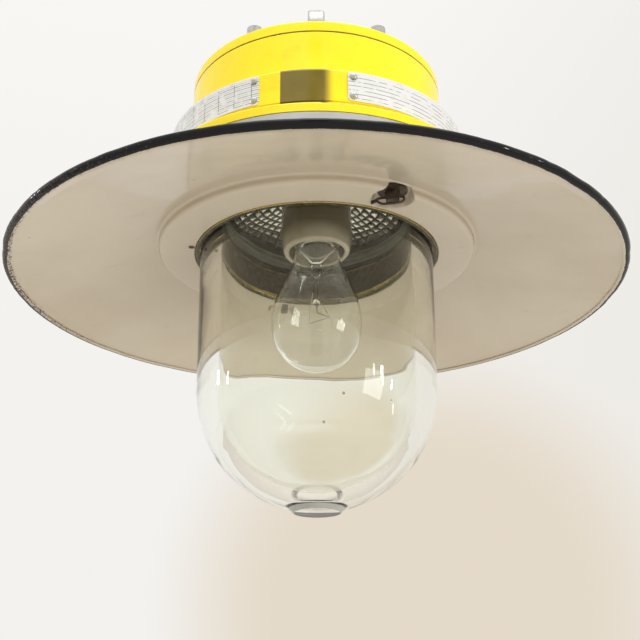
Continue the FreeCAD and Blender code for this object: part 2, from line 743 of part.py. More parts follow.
def lampholder_shell():
    """Brass shell that takes the bulb's cap."""
    inner_r = SHELL_R - SHELL_WALL
    return turned([
        (inner_r, 33.5),
        (SHELL_R, 33.5),
        (SHELL_R, 56.9),
        (9.5, 56.9),
        (9.5, 56.2),
        (inner_r, 56.2),
    ])


def centre_contact():
    """Sprung plunger that bears on the bulb's tip."""
    return turned([(0, BULB_TIP_H), (4.0, BULB_TIP_H, 0.5), (4.0, 57.6), (2.0, 57.6), (2.0, 68.5), (0, 68.5)])


def contact_spring():
    """Coil spring above the plunger, as turns on a helix."""
    low = 57.7 + 0.35
    high = 63.4 - 0.35
    helix = Part.makeHelix((high - low) / 4, high - low, 3.0)
    helix.translate(Vector(0, 0, low))
    start = helix.Vertexes[0].Point
    section = Part.Wire(Part.makeCircle(0.35, start, Vector(0, 1, 0.1)))
    return Part.Wire(helix.Edges).makePipeShell([section], True, True)


def lampholder_bracket():
    """Steel strap bent to a hat: base over the lampholder, two legs, two feet under the partition."""
    width = 24.0
    foot_length = 18.0
    near_y = -width / 2
    bracket = Part.makeBox(2 * BRACKET_LEG_X, width, STRAP, Vector(-BRACKET_LEG_X, near_y, HOLDER_TOP_H))
    for leg_x, foot_x in (
        (-BRACKET_LEG_X, STRAP - BRACKET_LEG_X - foot_length),
        (BRACKET_LEG_X - STRAP, BRACKET_LEG_X - STRAP),
    ):
        leg = Part.makeBox(STRAP, width, FLOOR_H - HOLDER_TOP_H, Vector(leg_x, near_y, HOLDER_TOP_H))
        foot = Part.makeBox(foot_length, width, STRAP, Vector(foot_x, near_y, FLOOR_H - STRAP))
        bracket = bracket.fuse(leg).fuse(foot)
    for x in (-HOLDER_SCREW_X, HOLDER_SCREW_X):
        bracket = bracket.cut(rod(2.3, HOLDER_TOP_H - 1, HOLDER_TOP_H + STRAP + 1, x))
    for x in (-BRACKET_SCREW_X, BRACKET_SCREW_X):
        bracket = bracket.cut(rod(2.3, FLOOR_H - STRAP - 1, FLOOR_H + 1, x))
    return bracket.cut(rod(3.0, HOLDER_TOP_H - 1, HOLDER_TOP_H + STRAP + 1))


def holder_screws():
    """Screws from the bracket down into the porcelain."""
    seat = HOLDER_TOP_H + STRAP
    screws = []
    for x in (-HOLDER_SCREW_X, HOLDER_SCREW_X):
        screws.append(slotted_screw(M4_R, 3.6, HOLDER_TOP_H - 6.5, seat, seat + 2.4, x))
    return Part.makeCompound(screws)


def bracket_screws():
    """Screws from the bracket's feet up into the partition."""
    seat = FLOOR_H - STRAP
    screws = []
    for x in (-BRACKET_SCREW_X, BRACKET_SCREW_X):
        screws.append(rod(M4_R, seat - 0.1, FLOOR_H + 4.6, x).fuse(rod(3.6, seat - 2.6, seat, x)))
    return Part.makeCompound(screws)


# Glass unit

def glass_dome():
    """Thick dome: round end, drafted side, reduced end that is cemented into the ring."""
    inner_r = DOME_R - DOME_WALL
    dome = turned([
        (0, DOME_CENTRE_H - DOME_R),
        (DOME_R, DOME_CENTRE_H - DOME_R, DOME_R),
        (DOME_TOP_R, DOME_SHOULDER_H, 0.8),
        (DOME_NECK_R, DOME_SHOULDER_H),
        (DOME_NECK_R, RING_TOP_H),
        (inner_r, RING_TOP_H, 1.5),
        (inner_r, DOME_CENTRE_H - inner_r, inner_r),
        (0, DOME_CENTRE_H - inner_r),
    ])
    foot_top = DOME_FOOT_H + 7.0
    foot = turned([(0, DOME_FOOT_H), (DOME_FOOT_R, DOME_FOOT_H, 1.4), (DOME_FOOT_R, foot_top), (0, foot_top)])
    return dome.fuse(foot)


def glass_cement():
    """Cement between the glass and its ring."""
    low = LIP_TOP_H + 0.1
    high = RING_TOP_H - 0.5
    return turned([(DOME_NECK_R, low), (RING_BORE_R, low), (RING_BORE_R, high), (DOME_NECK_R, high)])


def glass_ring():
    """Threaded ring with a lip round the glass and four spanner notches."""
    ring = turned([
        (LIP_R, RING_BOTTOM_H),
        (RING_R, RING_BOTTOM_H, 0.5),
        (RING_R, RING_TOP_H, 0.5),
        (RING_BORE_R, RING_TOP_H),
        (RING_BORE_R, LIP_TOP_H),
        (LIP_R, LIP_TOP_H),
    ])
    notch = Part.makeBox(12, 8, 2.2, Vector(72, -4, RING_BOTTOM_H - 0.1))
    return ring.cut(around(notch, NOTCH_ANGLES))


def glass_gasket():
    """Flat gasket between the ring's top and the neck's land."""
    return tube(79.6, 68.4, RING_TOP_H, LAND_H)


def ring_lock_screw():
    """Grub screw at the back that stops the ring turning."""
    screw = Part.makeCylinder(M6_R, 16.0, Vector(0, RING_R + 0.15, LOCK_SCREW_H), BACK)
    socket = hexagon(3.0, 92.0, 98.0)
    socket.rotate(Vector(0, 0, 0), Vector(1, 0, 0), -90)
    socket.translate(Vector(0, 0, LOCK_SCREW_H))
    return screw.cut(socket)


# Bulb

def bulb_shape(inset):
    """Outline of the bulb's glass, moved inwards by inset."""
    radius = BULB_R - inset
    neck_r = BULB_NECK_R - inset
    lean = math.radians(BULB_LEAN)
    shoulder_h = BULB_SHOULDER_H - inset * math.tan(lean / 2)
    neck_h = shoulder_h + (radius - neck_r) / math.tan(lean)
    return [
        (0, BULB_CENTRE_H - radius),
        (radius, BULB_CENTRE_H - radius, radius),
        (radius, shoulder_h, 50.0 - inset),
        (neck_r, neck_h, 24.0),
        (neck_r, BULB_CAP_H - 3.0, 2.0),
        (12.9 - inset, BULB_CAP_H),
        (0, BULB_CAP_H),
    ]


def bulb_envelope():
    """Thin clear glass, open at the cap."""
    return turned(bulb_shape(0)).cut(turned(bulb_shape(BULB_GLASS)))


def bulb_stem():
    """Glass mount: flare under the cap, pinch, thin rod, button."""
    return turned([
        (0, STEM_BUTTON_H - 1.8),
        (2.6, STEM_BUTTON_H - 1.8, 1.6),
        (2.6, STEM_BUTTON_H + 1.8, 1.6),
        (1.1, STEM_BUTTON_H + 1.8),
        (1.1, 6.0),
        (3.6, 9.0, 2.0),
        (3.6, 17.0, 4.0),
        (11.9, 25.4, 3.0),
        (11.9, 26.8),
        (10.9, 26.8),
        (10.9, 26.0),
        (2.6, 17.5),
        (0, 17.5),
    ])


def filament_point(xy):
    """Point of the filament's plane."""
    return Vector(xy[0], xy[1], FILAMENT_H)


def bulb_wires():
    """Two lead-in wires beside the rod, down to the filament's ends, and the support at its apex."""
    wires = []
    for side, end in zip((-1, 1), FILAMENT_ENDS):
        wires.append(wire_run([
            Vector(side * 1.6, 0, 5.4),
            Vector(side * 2.2, 0, -4.0),
            Vector(end[0] * 0.9, end[1] * 0.8, -12.0),
            filament_point(end) + Vector(0, 0, 0.35),
        ], 0.3))
    wires.append(wire_run([
        Vector(2.6, -0.6, STEM_BUTTON_H),
        Vector(5.0, -1.2, STEM_BUTTON_H - 3.0),
        filament_point(FILAMENT_APEX) + Vector(0, 0, 0.35),
    ], 0.2))
    return Part.makeCompound(wires)


def bulb_filament():
    """Filament in a flat V between its three holds."""
    holds = (FILAMENT_ENDS[0], FILAMENT_APEX, FILAMENT_ENDS[1])
    return wire_run([filament_point(hold) for hold in holds], 0.25)


def bulb_cap():
    """Screw cap as a plain cup."""
    return turned([
        (12.6, BULB_CAP_H),
        (BULB_CAP_R, BULB_CAP_H),
        (BULB_CAP_R, 50.0, 1.0),
        (9.0, 52.0),
        (9.0, 51.5),
        (12.6, 49.6, 1.0),
    ])


def bulb_insulator():
    """Dark glass insulator at the cap's end."""
    return turned([(4.6, 52.4), (9.0, 51.5), (9.0, 52.0), (5.2, 53.6), (4.6, 53.6)])


def bulb_tip():
    """Solder contact at the cap's end."""
    return turned([(0, 52.4), (4.6, 52.4), (4.6, 53.8), (3.0, BULB_TIP_H, 0.4), (0, BULB_TIP_H)])


NODES = (
    shade, shade_studs, shade_washer, shade_clip,
    neck_housing, flange_seal, flange_bolts, lamp_body, rating_plate, notice_plate, plate_rivets,
    terminal_cover, cover_gasket, cover_bolts, hanger_lug, hanger_nut,
    gland_body, gland_bush, gland_washer, gland_nut,
    terminal_block, terminal_clamps, terminal_screws, lead_bushings, lead_wires,
    earth_screw_inner, earth_screw_outer,
    reflector, reflector_ring, reflector_screws,
    lampholder, lampholder_shell, centre_contact, contact_spring,
    lampholder_bracket, holder_screws, bracket_screws,
    glass_dome, glass_cement, glass_ring, glass_gasket, ring_lock_screw,
    bulb_envelope, bulb_stem, bulb_wires, bulb_filament, bulb_cap, bulb_insulator, bulb_tip,
)

os.makedirs("parts", exist_ok=True)
for make in NODES:
    solid = make()
    solid.translate(Vector(0, 0, -HANGER_HEIGHT))
    solid.exportStep(f"parts/{make.__name__}.step")
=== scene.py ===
"""Looks of an industrial pendant lamp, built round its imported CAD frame.

The shade, the glass, the reflector, the threads, the label plates and the wire clip are modelled here; every
other piece is the CAD node itself. All surfaces are procedural. Heights in millimetres are measured above the
shade's rim.
"""

import json
import math

import bpy
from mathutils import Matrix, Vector, noise


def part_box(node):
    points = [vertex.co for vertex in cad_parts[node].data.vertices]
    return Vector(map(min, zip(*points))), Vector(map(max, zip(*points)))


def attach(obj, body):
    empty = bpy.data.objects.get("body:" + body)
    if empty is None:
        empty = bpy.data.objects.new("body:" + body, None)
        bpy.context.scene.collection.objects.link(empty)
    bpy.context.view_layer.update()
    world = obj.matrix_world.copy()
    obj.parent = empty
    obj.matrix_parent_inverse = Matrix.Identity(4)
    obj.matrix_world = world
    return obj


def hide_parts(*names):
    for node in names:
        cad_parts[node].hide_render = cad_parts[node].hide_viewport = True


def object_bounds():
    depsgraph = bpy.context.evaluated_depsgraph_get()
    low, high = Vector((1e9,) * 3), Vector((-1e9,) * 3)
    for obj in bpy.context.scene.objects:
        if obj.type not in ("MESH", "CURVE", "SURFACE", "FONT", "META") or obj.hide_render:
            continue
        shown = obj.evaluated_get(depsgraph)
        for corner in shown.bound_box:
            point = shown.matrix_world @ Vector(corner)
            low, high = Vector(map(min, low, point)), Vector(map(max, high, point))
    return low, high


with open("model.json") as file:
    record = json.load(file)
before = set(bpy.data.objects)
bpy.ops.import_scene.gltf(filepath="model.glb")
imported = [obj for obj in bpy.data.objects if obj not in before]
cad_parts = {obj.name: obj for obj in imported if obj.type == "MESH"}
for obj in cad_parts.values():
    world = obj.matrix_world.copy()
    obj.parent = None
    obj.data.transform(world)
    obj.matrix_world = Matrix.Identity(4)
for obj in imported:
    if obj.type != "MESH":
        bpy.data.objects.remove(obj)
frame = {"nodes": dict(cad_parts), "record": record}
size_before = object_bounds()

MM = 0.001
RIM_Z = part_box("shade")[0].z
SLOT_OF = {part["node"]: part["material_slot"] for part in frame["record"]["subparts"]}
BODY_OF = {node: body for body, members in frame["record"]["behaviour"]["bodies"].items() for node in members}


def half_width(node):
    """Outer radius of a round node on the lamp's axis, in millimetres."""
    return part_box(node)[1].x / MM


def low(node):
    """Lowest height of a node above the rim, in millimetres."""
    return (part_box(node)[0].z - RIM_Z) / MM


def high(node):
    """Highest height of a node above the rim, in millimetres."""
    return (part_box(node)[1].z - RIM_Z) / MM


# ---------------------------------------------------------------- meshes

def rounded(corners, arc_step=9.0):
    """Path through (radius, height) corners; a corner with a third number is rounded to that radius."""
    path = []
    for i, corner in enumerate(corners):
        here = Vector(corner[:2])
        if len(corner) == 2 or i in (0, len(corners) - 1):
            path.append(here)
            continue
        back = (Vector(corners[i - 1][:2]) - here).normalized()
        ahead = (Vector(corners[i + 1][:2]) - here).normalized()
        half = back.angle(ahead) / 2
        reach = corner[2] / math.tan(half)
        centre = here + (back + ahead).normalized() * (corner[2] / math.sin(half))
        first = here + back * reach - centre
        last = here + ahead * reach - centre
        sweep = first.angle_signed(last)
        count = max(2, math.ceil(abs(math.degrees(sweep)) / arc_step))
        for k in range(count + 1):
            turn = -sweep * k / count
            path.append(centre + Vector((first.x * math.cos(turn) - first.y * math.sin(turn),
                                         first.x * math.sin(turn) + first.y * math.cos(turn))))
    return path


def divided(path, step):
    """The path with extra points, so that no stretch is longer than step."""
    points = [path[0]]
    for a, b in zip(path, path[1:]):
        count = max(1, math.ceil((b - a).length / step))
        points += [a.lerp(b, k / count) for k in range(1, count + 1)]
    return points


def make_object(name, verts, faces, crease=35.0):
    """Mesh object with smooth shading and sharp edges above the crease angle."""
    mesh = bpy.data.meshes.new(name)
    mesh.from_pydata([tuple(v) for v in verts], [], faces)
    mesh.validate()
    mesh.update()
    mesh.shade_smooth()
    mesh.set_sharp_from_angle(angle=math.radians(crease))
    made = bpy.data.objects.new(name, mesh)
    bpy.context.scene.collection.objects.link(made)
    return made


def on_circle(radius, angle, height):
    """Point from radius and height above the rim in millimetres and angle in radians."""
    return Vector((radius * MM * math.cos(angle), radius * MM * math.sin(angle), RIM_Z + height * MM))


def lathe(name, path, segments=192, closed=False, warp=None, crease=35.0):
    """Surface turned about the lamp's axis from a path in millimetres.

    The path runs with the solid on its left, seen with radius to the right and height up. Points on the axis
    become poles. warp(radius, angle, height) returns the changed three.
    """
    verts, rings = [], []
    for r, h in path:
        if r < 1e-6:
            verts.append(Vector((0, 0, RIM_Z + h * MM)))
            rings.append([len(verts) - 1] * segments)
            continue
        ring = []
        for i in range(segments):
            radius, angle, height = r, 2 * math.pi * i / segments, h
            if warp:
                radius, angle, height = warp(radius, angle, height)
            ring.append(len(verts))
            verts.append(on_circle(radius, angle, height))
        rings.append(ring)
    faces = []
    spans = list(zip(rings, rings[1:] + rings[:1])) if closed else list(zip(rings, rings[1:]))
    for lower, upper in spans:
        for i in range(segments):
            k = (i + 1) % segments
            corners = [lower[i], lower[k], upper[k], upper[i]]
            corners = [c for n, c in enumerate(corners) if c != corners[n - 1]]
            if len(corners) > 2:
                faces.append(corners)
    return make_object(name, verts, faces, crease)


def tube(points, radius, sides=8):
    """Round wire along points in metres, with closed ends."""
    verts, faces = [], []
    side = None
    for i, p in enumerate(points):
        along = (points[min(i + 1, len(points) - 1)] - points[max(i - 1, 0)]).normalized()
        if side is None:
            side = along.orthogonal().normalized()
        side = (side - along * side.dot(along)).normalized()
        other = along.cross(side)
        for k in range(sides):
            angle = 2 * math.pi * k / sides
            verts.append(p + (side * math.cos(angle) + other * math.sin(angle)) * radius)
    for i in range(len(points) - 1):
        for k in range(sides):
            n = (k + 1) % sides
            faces.append([i * sides + k, i * sides + n, (i + 1) * sides + n, (i + 1) * sides + k])
    faces.append(list(range(sides))[::-1])
    faces.append([(len(points) - 1) * sides + k for k in range(sides)])
    return verts, faces


def bent(points, step=0.0006):
    """Smooth run through points by a Catmull-Rom curve."""
    run = []
    for i in range(len(points) - 1):
        a, b, c, d = points[max(i - 1, 0)], points[i], points[i + 1], points[min(i + 2, len(points) - 1)]
        count = max(2, math.ceil((c - b).length / step))
        for k in range(count):
            t = k / count
            run.append(0.5 * ((2 * b) + (c - a) * t + (2 * a - 5 * b + 4 * c - d) * t ** 2
                              + (3 * b - 3 * c + d - a) * t ** 3))
    run.append(points[-1])
    return run


def joined(name, pieces, crease=35.0):
    """One object from several (verts, faces) pairs."""
    verts, faces = [], []
    for piece_verts, piece_faces in pieces:
        start = len(verts)
        verts += piece_verts
        faces += [[index + start for index in face] for face in piece_faces]
    return make_object(name, verts, faces, crease)


def stand_for(piece, *replaced):
    """Puts a piece in place of CAD nodes: same body, same finish."""
    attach(piece, BODY_OF[replaced[0]])
    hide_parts(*replaced)
    finish_as(piece, SLOT_OF[replaced[0]])


def finish_as(piece, slot):
    """Gives a piece the surface of a material slot."""
    piece.data.materials.clear()
    piece.data.materials.append(surface_of(slot))


def smooth_step(value, start, end):
    t = min(1.0, max(0.0, (value - start) / (end - start)))
    return t * t * (3 - 2 * t)


def set_attribute(piece, name, value_at):
    """Float on every vertex, from a function of (vertex number, radius in millimetres, angle in radians)."""
    layer = piece.data.attributes.new(name, "FLOAT", "POINT")
    for vertex in piece.data.vertices:
        x, y, _ = vertex.co
        layer.data[vertex.index].value = value_at(vertex.index, math.hypot(x, y) / MM, math.atan2(y, x))


# ---------------------------------------------------------------- surfaces

# Sides of the painted reflection, a dark olive band on the yellow wall between the two label plates
PAINTED_REFLECTION_LEFT = math.radians(-102.8)
PAINTED_REFLECTION_RIGHT = math.radians(-85.5)
DIMPLES_ROUND = 54
DIMPLE_PITCH = 5.0
DISH_IN_R, DISH_OUT_R = 28.2, 65.5
DOME_SEEDS = ((15.2, -70.8, -94.2), (3.9, -65.5, -109.6))    # x, y and height of two small bubbles
THREAD_PITCH = 3.0                                           # of the glass ring, in millimetres
PLATE_RULE_PITCH = 2.9
PLATE_FIELD_LOW_H = 83.5


class Surface:
    """Procedural material, put together node by node in object space."""

    def __init__(self, name):
        self.material = bpy.data.materials.new(name)
        self.material.use_nodes = True
        self.tree = self.material.node_tree
        self.tree.nodes.clear()
        self.shader = self.node("ShaderNodeBsdfPrincipled")
        output = self.node("ShaderNodeOutputMaterial")
        self.tree.links.new(self.shader.outputs[0], output.inputs[0])
        self.place = self.node("ShaderNodeTexCoord").outputs["Object"]

    def node(self, kind, **settings):
        made = self.tree.nodes.new(kind)
        for key, value in settings.items():
            setattr(made, key, value)
        return made

    def feed(self, socket, value):
        if isinstance(value, bpy.types.NodeSocket):
            self.tree.links.new(value, socket)
        elif isinstance(value, tuple) and len(value) == 3 and socket.type == "RGBA":
            socket.default_value = (*value, 1.0)
        else:
            socket.default_value = value

    def set(self, **values):
        for key, value in values.items():
            self.feed(self.shader.inputs[key.replace("_", " ")], value)

    def maths(self, operation, *values):
        node = self.node("ShaderNodeMath", operation=operation)
        for socket, value in zip(node.inputs, values):
            self.feed(socket, value)
        return node.outputs[0]

    def ramp(self, value, start, end, low_value=0.0, high_value=1.0):
        node = self.node("ShaderNodeMapRange", interpolation_type="SMOOTHSTEP")
        self.feed(node.inputs["Value"], value)
        limits = {"From Min": start, "From Max": end, "To Min": low_value, "To Max": high_value}
        for name, number in limits.items():
            self.feed(node.inputs[name], number)
        return node.outputs[0]

    def mix(self, factor, first, second):
        node = self.node("ShaderNodeMix", data_type="RGBA")
        self.feed(node.inputs["Factor"], factor)
        self.feed(node.inputs[6], first)
        self.feed(node.inputs[7], second)
        return node.outputs[2]

    def stretched(self, x, y, z):
        node = self.node("ShaderNodeMapping")
        self.feed(node.inputs["Vector"], self.place)
        node.inputs["Scale"].default_value = (x, y, z)
        return node.outputs[0]

    def noise(self, scale, detail=3.0, roughness=0.55, place=None):
        node = self.node("ShaderNodeTexNoise")
        self.feed(node.inputs["Vector"], place or self.place)
        self.feed(node.inputs["Scale"], scale)
        self.feed(node.inputs["Detail"], detail)
        self.feed(node.inputs["Roughness"], roughness)
        return node.outputs["Fac"]

    def cells(self, scale, place=None):
        node = self.node("ShaderNodeTexVoronoi")
        self.feed(node.inputs["Vector"], place or self.place)
        self.feed(node.inputs["Scale"], scale)
        return node.outputs["Distance"]

    def bump(self, height, distance_mm, normal=None, strength=1.0):
        node = self.node("ShaderNodeBump")
        self.feed(node.inputs["Height"], height)
        node.inputs["Distance"].default_value = distance_mm * MM
        node.inputs["Strength"].default_value = strength
        if normal is not None:
            self.feed(node.inputs["Normal"], normal)
        return node.outputs[0]

    def soft_edges(self, radius_mm):
        node = self.node("ShaderNodeBevel", samples=4)
        node.inputs["Radius"].default_value = radius_mm * MM
        return node.outputs[0]

    def edge_mask(self, radius_mm):
        """1 on convex and concave edges, 0 on flats."""
        bevelled = self.soft_edges(radius_mm)
        plain = self.node("ShaderNodeNewGeometry").outputs["Normal"]
        node = self.node("ShaderNodeVectorMath", operation="DOT_PRODUCT")
        self.feed(node.inputs[0], bevelled)
        self.feed(node.inputs[1], plain)
        return self.ramp(node.outputs["Value"], 0.99, 0.93)

    def attribute(self, name):
        return self.node("ShaderNodeAttribute", attribute_name=name).outputs["Fac"]

    def axis_parts(self):
        """Radius, angle (radians) and height of the shaded point, in millimetres above the rim."""
        split = self.node("ShaderNodeSeparateXYZ")
        self.feed(split.inputs[0], self.place)
        x, y, z = split.outputs
        square = self.maths("ADD", self.maths("MULTIPLY", x, x), self.maths("MULTIPLY", y, y))
        radius = self.maths("SQRT", square)
        angle = self.maths("ARCTAN2", y, x)
        height = self.maths("DIVIDE", self.maths("SUBTRACT", z, RIM_Z), MM)
        return self.maths("DIVIDE", radius, MM), angle, height


def enamel(s):
    """Glossy enamel: cream inside, black over the rim and outside, chipped along one side of the rim."""
    white = s.attribute("white")
    wear = s.attribute("wear")
    ragged = s.maths("ADD", white, s.maths("MULTIPLY", s.maths("SUBTRACT", s.noise(300, 5, 0.7), 0.5), 0.7))
    inside = s.ramp(ragged, 0.46, 0.54)
    cream = s.mix(s.ramp(s.noise(9, 3), 0.35, 0.7), (0.60, 0.535, 0.430), (0.54, 0.470, 0.365))
    grime = s.ramp(s.noise(55, 6, 0.65), 0.58, 0.78)
    cream = s.mix(s.maths("MULTIPLY", grime, 0.22), cream, (0.36, 0.30, 0.21))
    dust = s.ramp(s.noise(160, 5, 0.7), 0.55, 0.85)
    black = s.mix(s.maths("MULTIPLY", dust, 0.18), (0.008, 0.008, 0.009), (0.06, 0.058, 0.054))
    coat = s.mix(inside, black, cream)
    chip_field = s.maths("ADD", s.noise(620, 6, 0.72), s.maths("MULTIPLY", wear, 0.27))
    chip = s.ramp(chip_field, 0.765, 0.785)
    halo = s.maths("SUBTRACT", s.ramp(chip_field, 0.73, 0.765), chip)
    bare = s.mix(s.ramp(s.noise(900, 4), 0.4, 0.6), (0.030, 0.020, 0.013), (0.11, 0.075, 0.05))
    coat = s.mix(s.maths("MULTIPLY", halo, 0.45), coat, (0.26, 0.24, 0.21))
    speck = s.ramp(s.cells(75), 0.055, 0.03)
    rare = s.maths("MULTIPLY", speck, s.ramp(s.noise(23, 2), 0.62, 0.66))
    coat = s.mix(s.maths("MULTIPLY", rare, 0.8), coat, (0.12, 0.08, 0.05))
    s.set(Base_Color=s.mix(chip, coat, bare))
    gloss = s.ramp(s.noise(30, 6, 0.6), 0.3, 0.8, 0.06, 0.15)
    s.set(Roughness=s.maths("MAXIMUM", gloss, s.maths("MULTIPLY", chip, 0.75)))
    s.set(Specular_IOR_Level=s.ramp(inside, 0.0, 1.0, 0.16, 0.62))
    waves = s.bump(s.noise(26, 2), 0.9, strength=0.35)
    peel = s.bump(s.noise(900, 2), 0.02, waves, 0.35)
    s.set(Normal=s.bump(s.maths("SUBTRACT", 1.0, chip), 0.25, peel))


def painted_casting(s, first, second, chip_colour, roughness, grain=1.0):
    """Glossy paint over a cast surface, worn at the edges."""
    shade = s.noise(14, 4)
    paint = s.mix(s.ramp(shade, 0.3, 0.7), first, second)
    edge = s.edge_mask(0.9)
    patchy = s.ramp(s.noise(240, 5, 0.7), 0.57, 0.63)
    chip = s.maths("MULTIPLY", edge, patchy)
    grime = s.maths("MULTIPLY", s.ramp(s.noise(38, 6, 0.65), 0.56, 0.80), 0.30)
    paint = s.mix(grime, paint, tuple(0.35 * c for c in second))
    s.set(Base_Color=s.mix(chip, paint, chip_colour))
    s.set(Roughness=s.maths("ADD", s.ramp(s.noise(60, 5), 0.3, 0.8, roughness, roughness + 0.14),
                            s.maths("MULTIPLY", chip, 0.3)))
    cast = s.bump(s.noise(380, 3, 0.6), 0.10 * grain, s.soft_edges(0.6), 0.6)
    lumps = s.bump(s.noise(60, 2), 0.5 * grain, cast, 0.4)
    s.set(Normal=s.bump(s.maths("SUBTRACT", 1.0, chip), 0.12, lumps))


def yellow_paint(s):
    """Yellow enamel paint, with a painted reflection on the wall between the two label plates: a dark olive
    band standing for a dark thing in front of the lamp, mirrored in the gloss.
    """
    painted_casting(s, (0.93, 0.73, 0.003), (0.86, 0.65, 0.003), (0.25, 0.24, 0.22), 0.13)
    radius, angle, height = s.axis_parts()
    # Painted reflection: the wall between these angles is painted dark olive
    left = s.ramp(angle, PAINTED_REFLECTION_LEFT - 0.004, PAINTED_REFLECTION_LEFT + 0.004)
    right = s.ramp(angle, PAINTED_REFLECTION_RIGHT + 0.04, PAINTED_REFLECTION_RIGHT - 0.04)
    on_wall = s.maths("MULTIPLY", s.ramp(radius, 97.0, 98.0), s.ramp(height, 78.8, 79.3))
    patch = s.maths("MULTIPLY", s.maths("MULTIPLY", left, right), on_wall)
    painted_reflection_tone = s.mix(s.noise(60, 5, 0.6), (0.075, 0.055, 0.006), (0.17, 0.125, 0.014))
    colour_before = s.shader.inputs["Base Color"].links[0].from_socket
    s.set(Base_Color=s.mix(s.maths("MULTIPLY", patch, 0.96), colour_before, painted_reflection_tone))


def grey_casting(s):
    """Varnished light-alloy casting; its threaded bore shows the thread as a helical relief, and inside the
    neck it is painted nearly black as painted shade.
    """
    painted_casting(s, (0.50, 0.50, 0.49), (0.42, 0.42, 0.41), (0.20, 0.18, 0.15), 0.30, 1.5)
    radius, angle, height = s.axis_parts()
    bore = s.maths("MULTIPLY", s.ramp(radius, 80.8, 80.4), s.ramp(height, 22.5, 23.5))
    climb = s.maths("MULTIPLY", height, 2 * math.pi / THREAD_PITCH)
    thread = s.maths("SINE", s.maths("SUBTRACT", climb, angle))
    normal_before = s.shader.inputs["Normal"].links[0].from_socket
    s.set(Normal=s.bump(s.maths("MULTIPLY", thread, bore), 0.7, normal_before))
    # Painted shade: inside the neck, above its bottom face, the casting is painted nearly black
    inner = s.ramp(radius, 92.5, 91.0)
    bore_painted_shade = s.maths("MULTIPLY", inner, s.ramp(height, 22.8, 23.6))
    colour_before = s.shader.inputs["Base Color"].links[0].from_socket
    s.set(Base_Color=s.mix(s.maths("MULTIPLY", bore_painted_shade, 0.92), colour_before, (0.045, 0.037, 0.018)))
    s.set(Metallic=0.45)


def label_metal(s):
    """Satin aluminium plate with a printed form of ruled, empty fields."""
    _, angle, height = s.axis_parts()
    along = s.maths("MULTIPLY", angle, 99.5)
    brushed = s.noise(260, 4, 0.6, s.stretched(1, 1, 9))
    metal = s.mix(s.ramp(brushed, 0.3, 0.7), (0.77, 0.77, 0.755), (0.67, 0.67, 0.655))
    stain = s.ramp(s.noise(70, 6, 0.7), 0.54, 0.75)
    metal = s.mix(s.maths("MULTIPLY", stain, 0.45), metal, (0.36, 0.345, 0.30))

    def rules(position, pitch, width):
        phase = s.maths("FRACT", s.maths("DIVIDE", position, pitch))
        off = s.maths("ABSOLUTE", s.maths("SUBTRACT", phase, 0.5))
        return s.ramp(off, 0.5 - width / pitch, 0.5 - 0.6 * width / pitch)

    above = s.maths("SUBTRACT", height, PLATE_FIELD_LOW_H)
    rows = rules(above, PLATE_RULE_PITCH, 0.22)
    fine_rows = rules(above, PLATE_RULE_PITCH / 2, 0.10)
    columns = rules(along, 12.3, 0.22)
    left = s.ramp(s.maths("ABSOLUTE", angle), 1.7, 1.75)
    field = s.maths("MULTIPLY", s.ramp(height, 83.2, 83.4), s.ramp(height, 100.4, 100.2))
    broken = s.ramp(s.noise(150, 3), 0.40, 0.50)
    table = s.maths("MAXIMUM", rows, s.maths("MAXIMUM", s.maths("MULTIPLY", columns, left),
                                             s.maths("MULTIPLY", fine_rows, left)))
    ink = s.maths("MULTIPLY", s.maths("MULTIPLY", table, field), s.maths("MULTIPLY", broken, 0.92))
    s.set(Base_Color=s.mix(ink, metal, (0.05, 0.05, 0.055)))
    s.set(Metallic=s.maths("SUBTRACT", 0.35, s.maths("MULTIPLY", ink, 0.35)))
    s.set(Roughness=s.ramp(brushed, 0.3, 0.8, 0.28, 0.42))
    dents = s.bump(s.noise(45, 2), 0.35, strength=0.5)
    s.set(Normal=s.bump(brushed, 0.02, dents))


def metal(s, bright, dark, roughness, tarnish, scale=110, grain=0.03, edges=0.25):
    """Bare or plated metal with patchy tarnish and fine scratches."""
    patch = s.ramp(s.noise(scale, 6, 0.65), 0.38, 0.72)
    fine = s.noise(900, 3, 0.6, s.stretched(1, 1, 0.3))
    base = s.mix(s.ramp(fine, 0.35, 0.65), bright, tuple(0.82 * c for c in bright))
    s.set(Base_Color=s.mix(s.maths("MULTIPLY", patch, tarnish), base, dark))
    s.set(Metallic=s.maths("SUBTRACT", 1.0, s.maths("MULTIPLY", patch, 0.35 * tarnish)))
    s.set(Roughness=s.maths("ADD", roughness, s.maths("MULTIPLY", patch, 0.25)))
    s.set(Normal=s.bump(fine, grain, s.bump(s.noise(220, 4), 2 * grain, s.soft_edges(edges))))


def zinc_steel(s):
    metal(s, (0.62, 0.62, 0.60), (0.30, 0.27, 0.22), 0.30, 0.55)


def rusty_steel(s):
    """Steel under old dark rust and oil, rubbed bright on a few high spots."""
    patch = s.noise(330, 6, 0.7)
    rust = s.mix(s.ramp(patch, 0.35, 0.65), (0.014, 0.010, 0.006), (0.060, 0.036, 0.018))
    rubbed = s.maths("MULTIPLY", s.ramp(s.noise(170, 4), 0.55, 0.66), 0.7)
    s.set(Base_Color=s.mix(rubbed, rust, (0.17, 0.14, 0.07)))
    s.set(Metallic=s.maths("MULTIPLY", rubbed, 0.85))
    s.set(Roughness=s.ramp(patch, 0.3, 0.7, 0.32, 0.62))
    s.set(Normal=s.bump(patch, 0.08, s.soft_edges(0.2)))


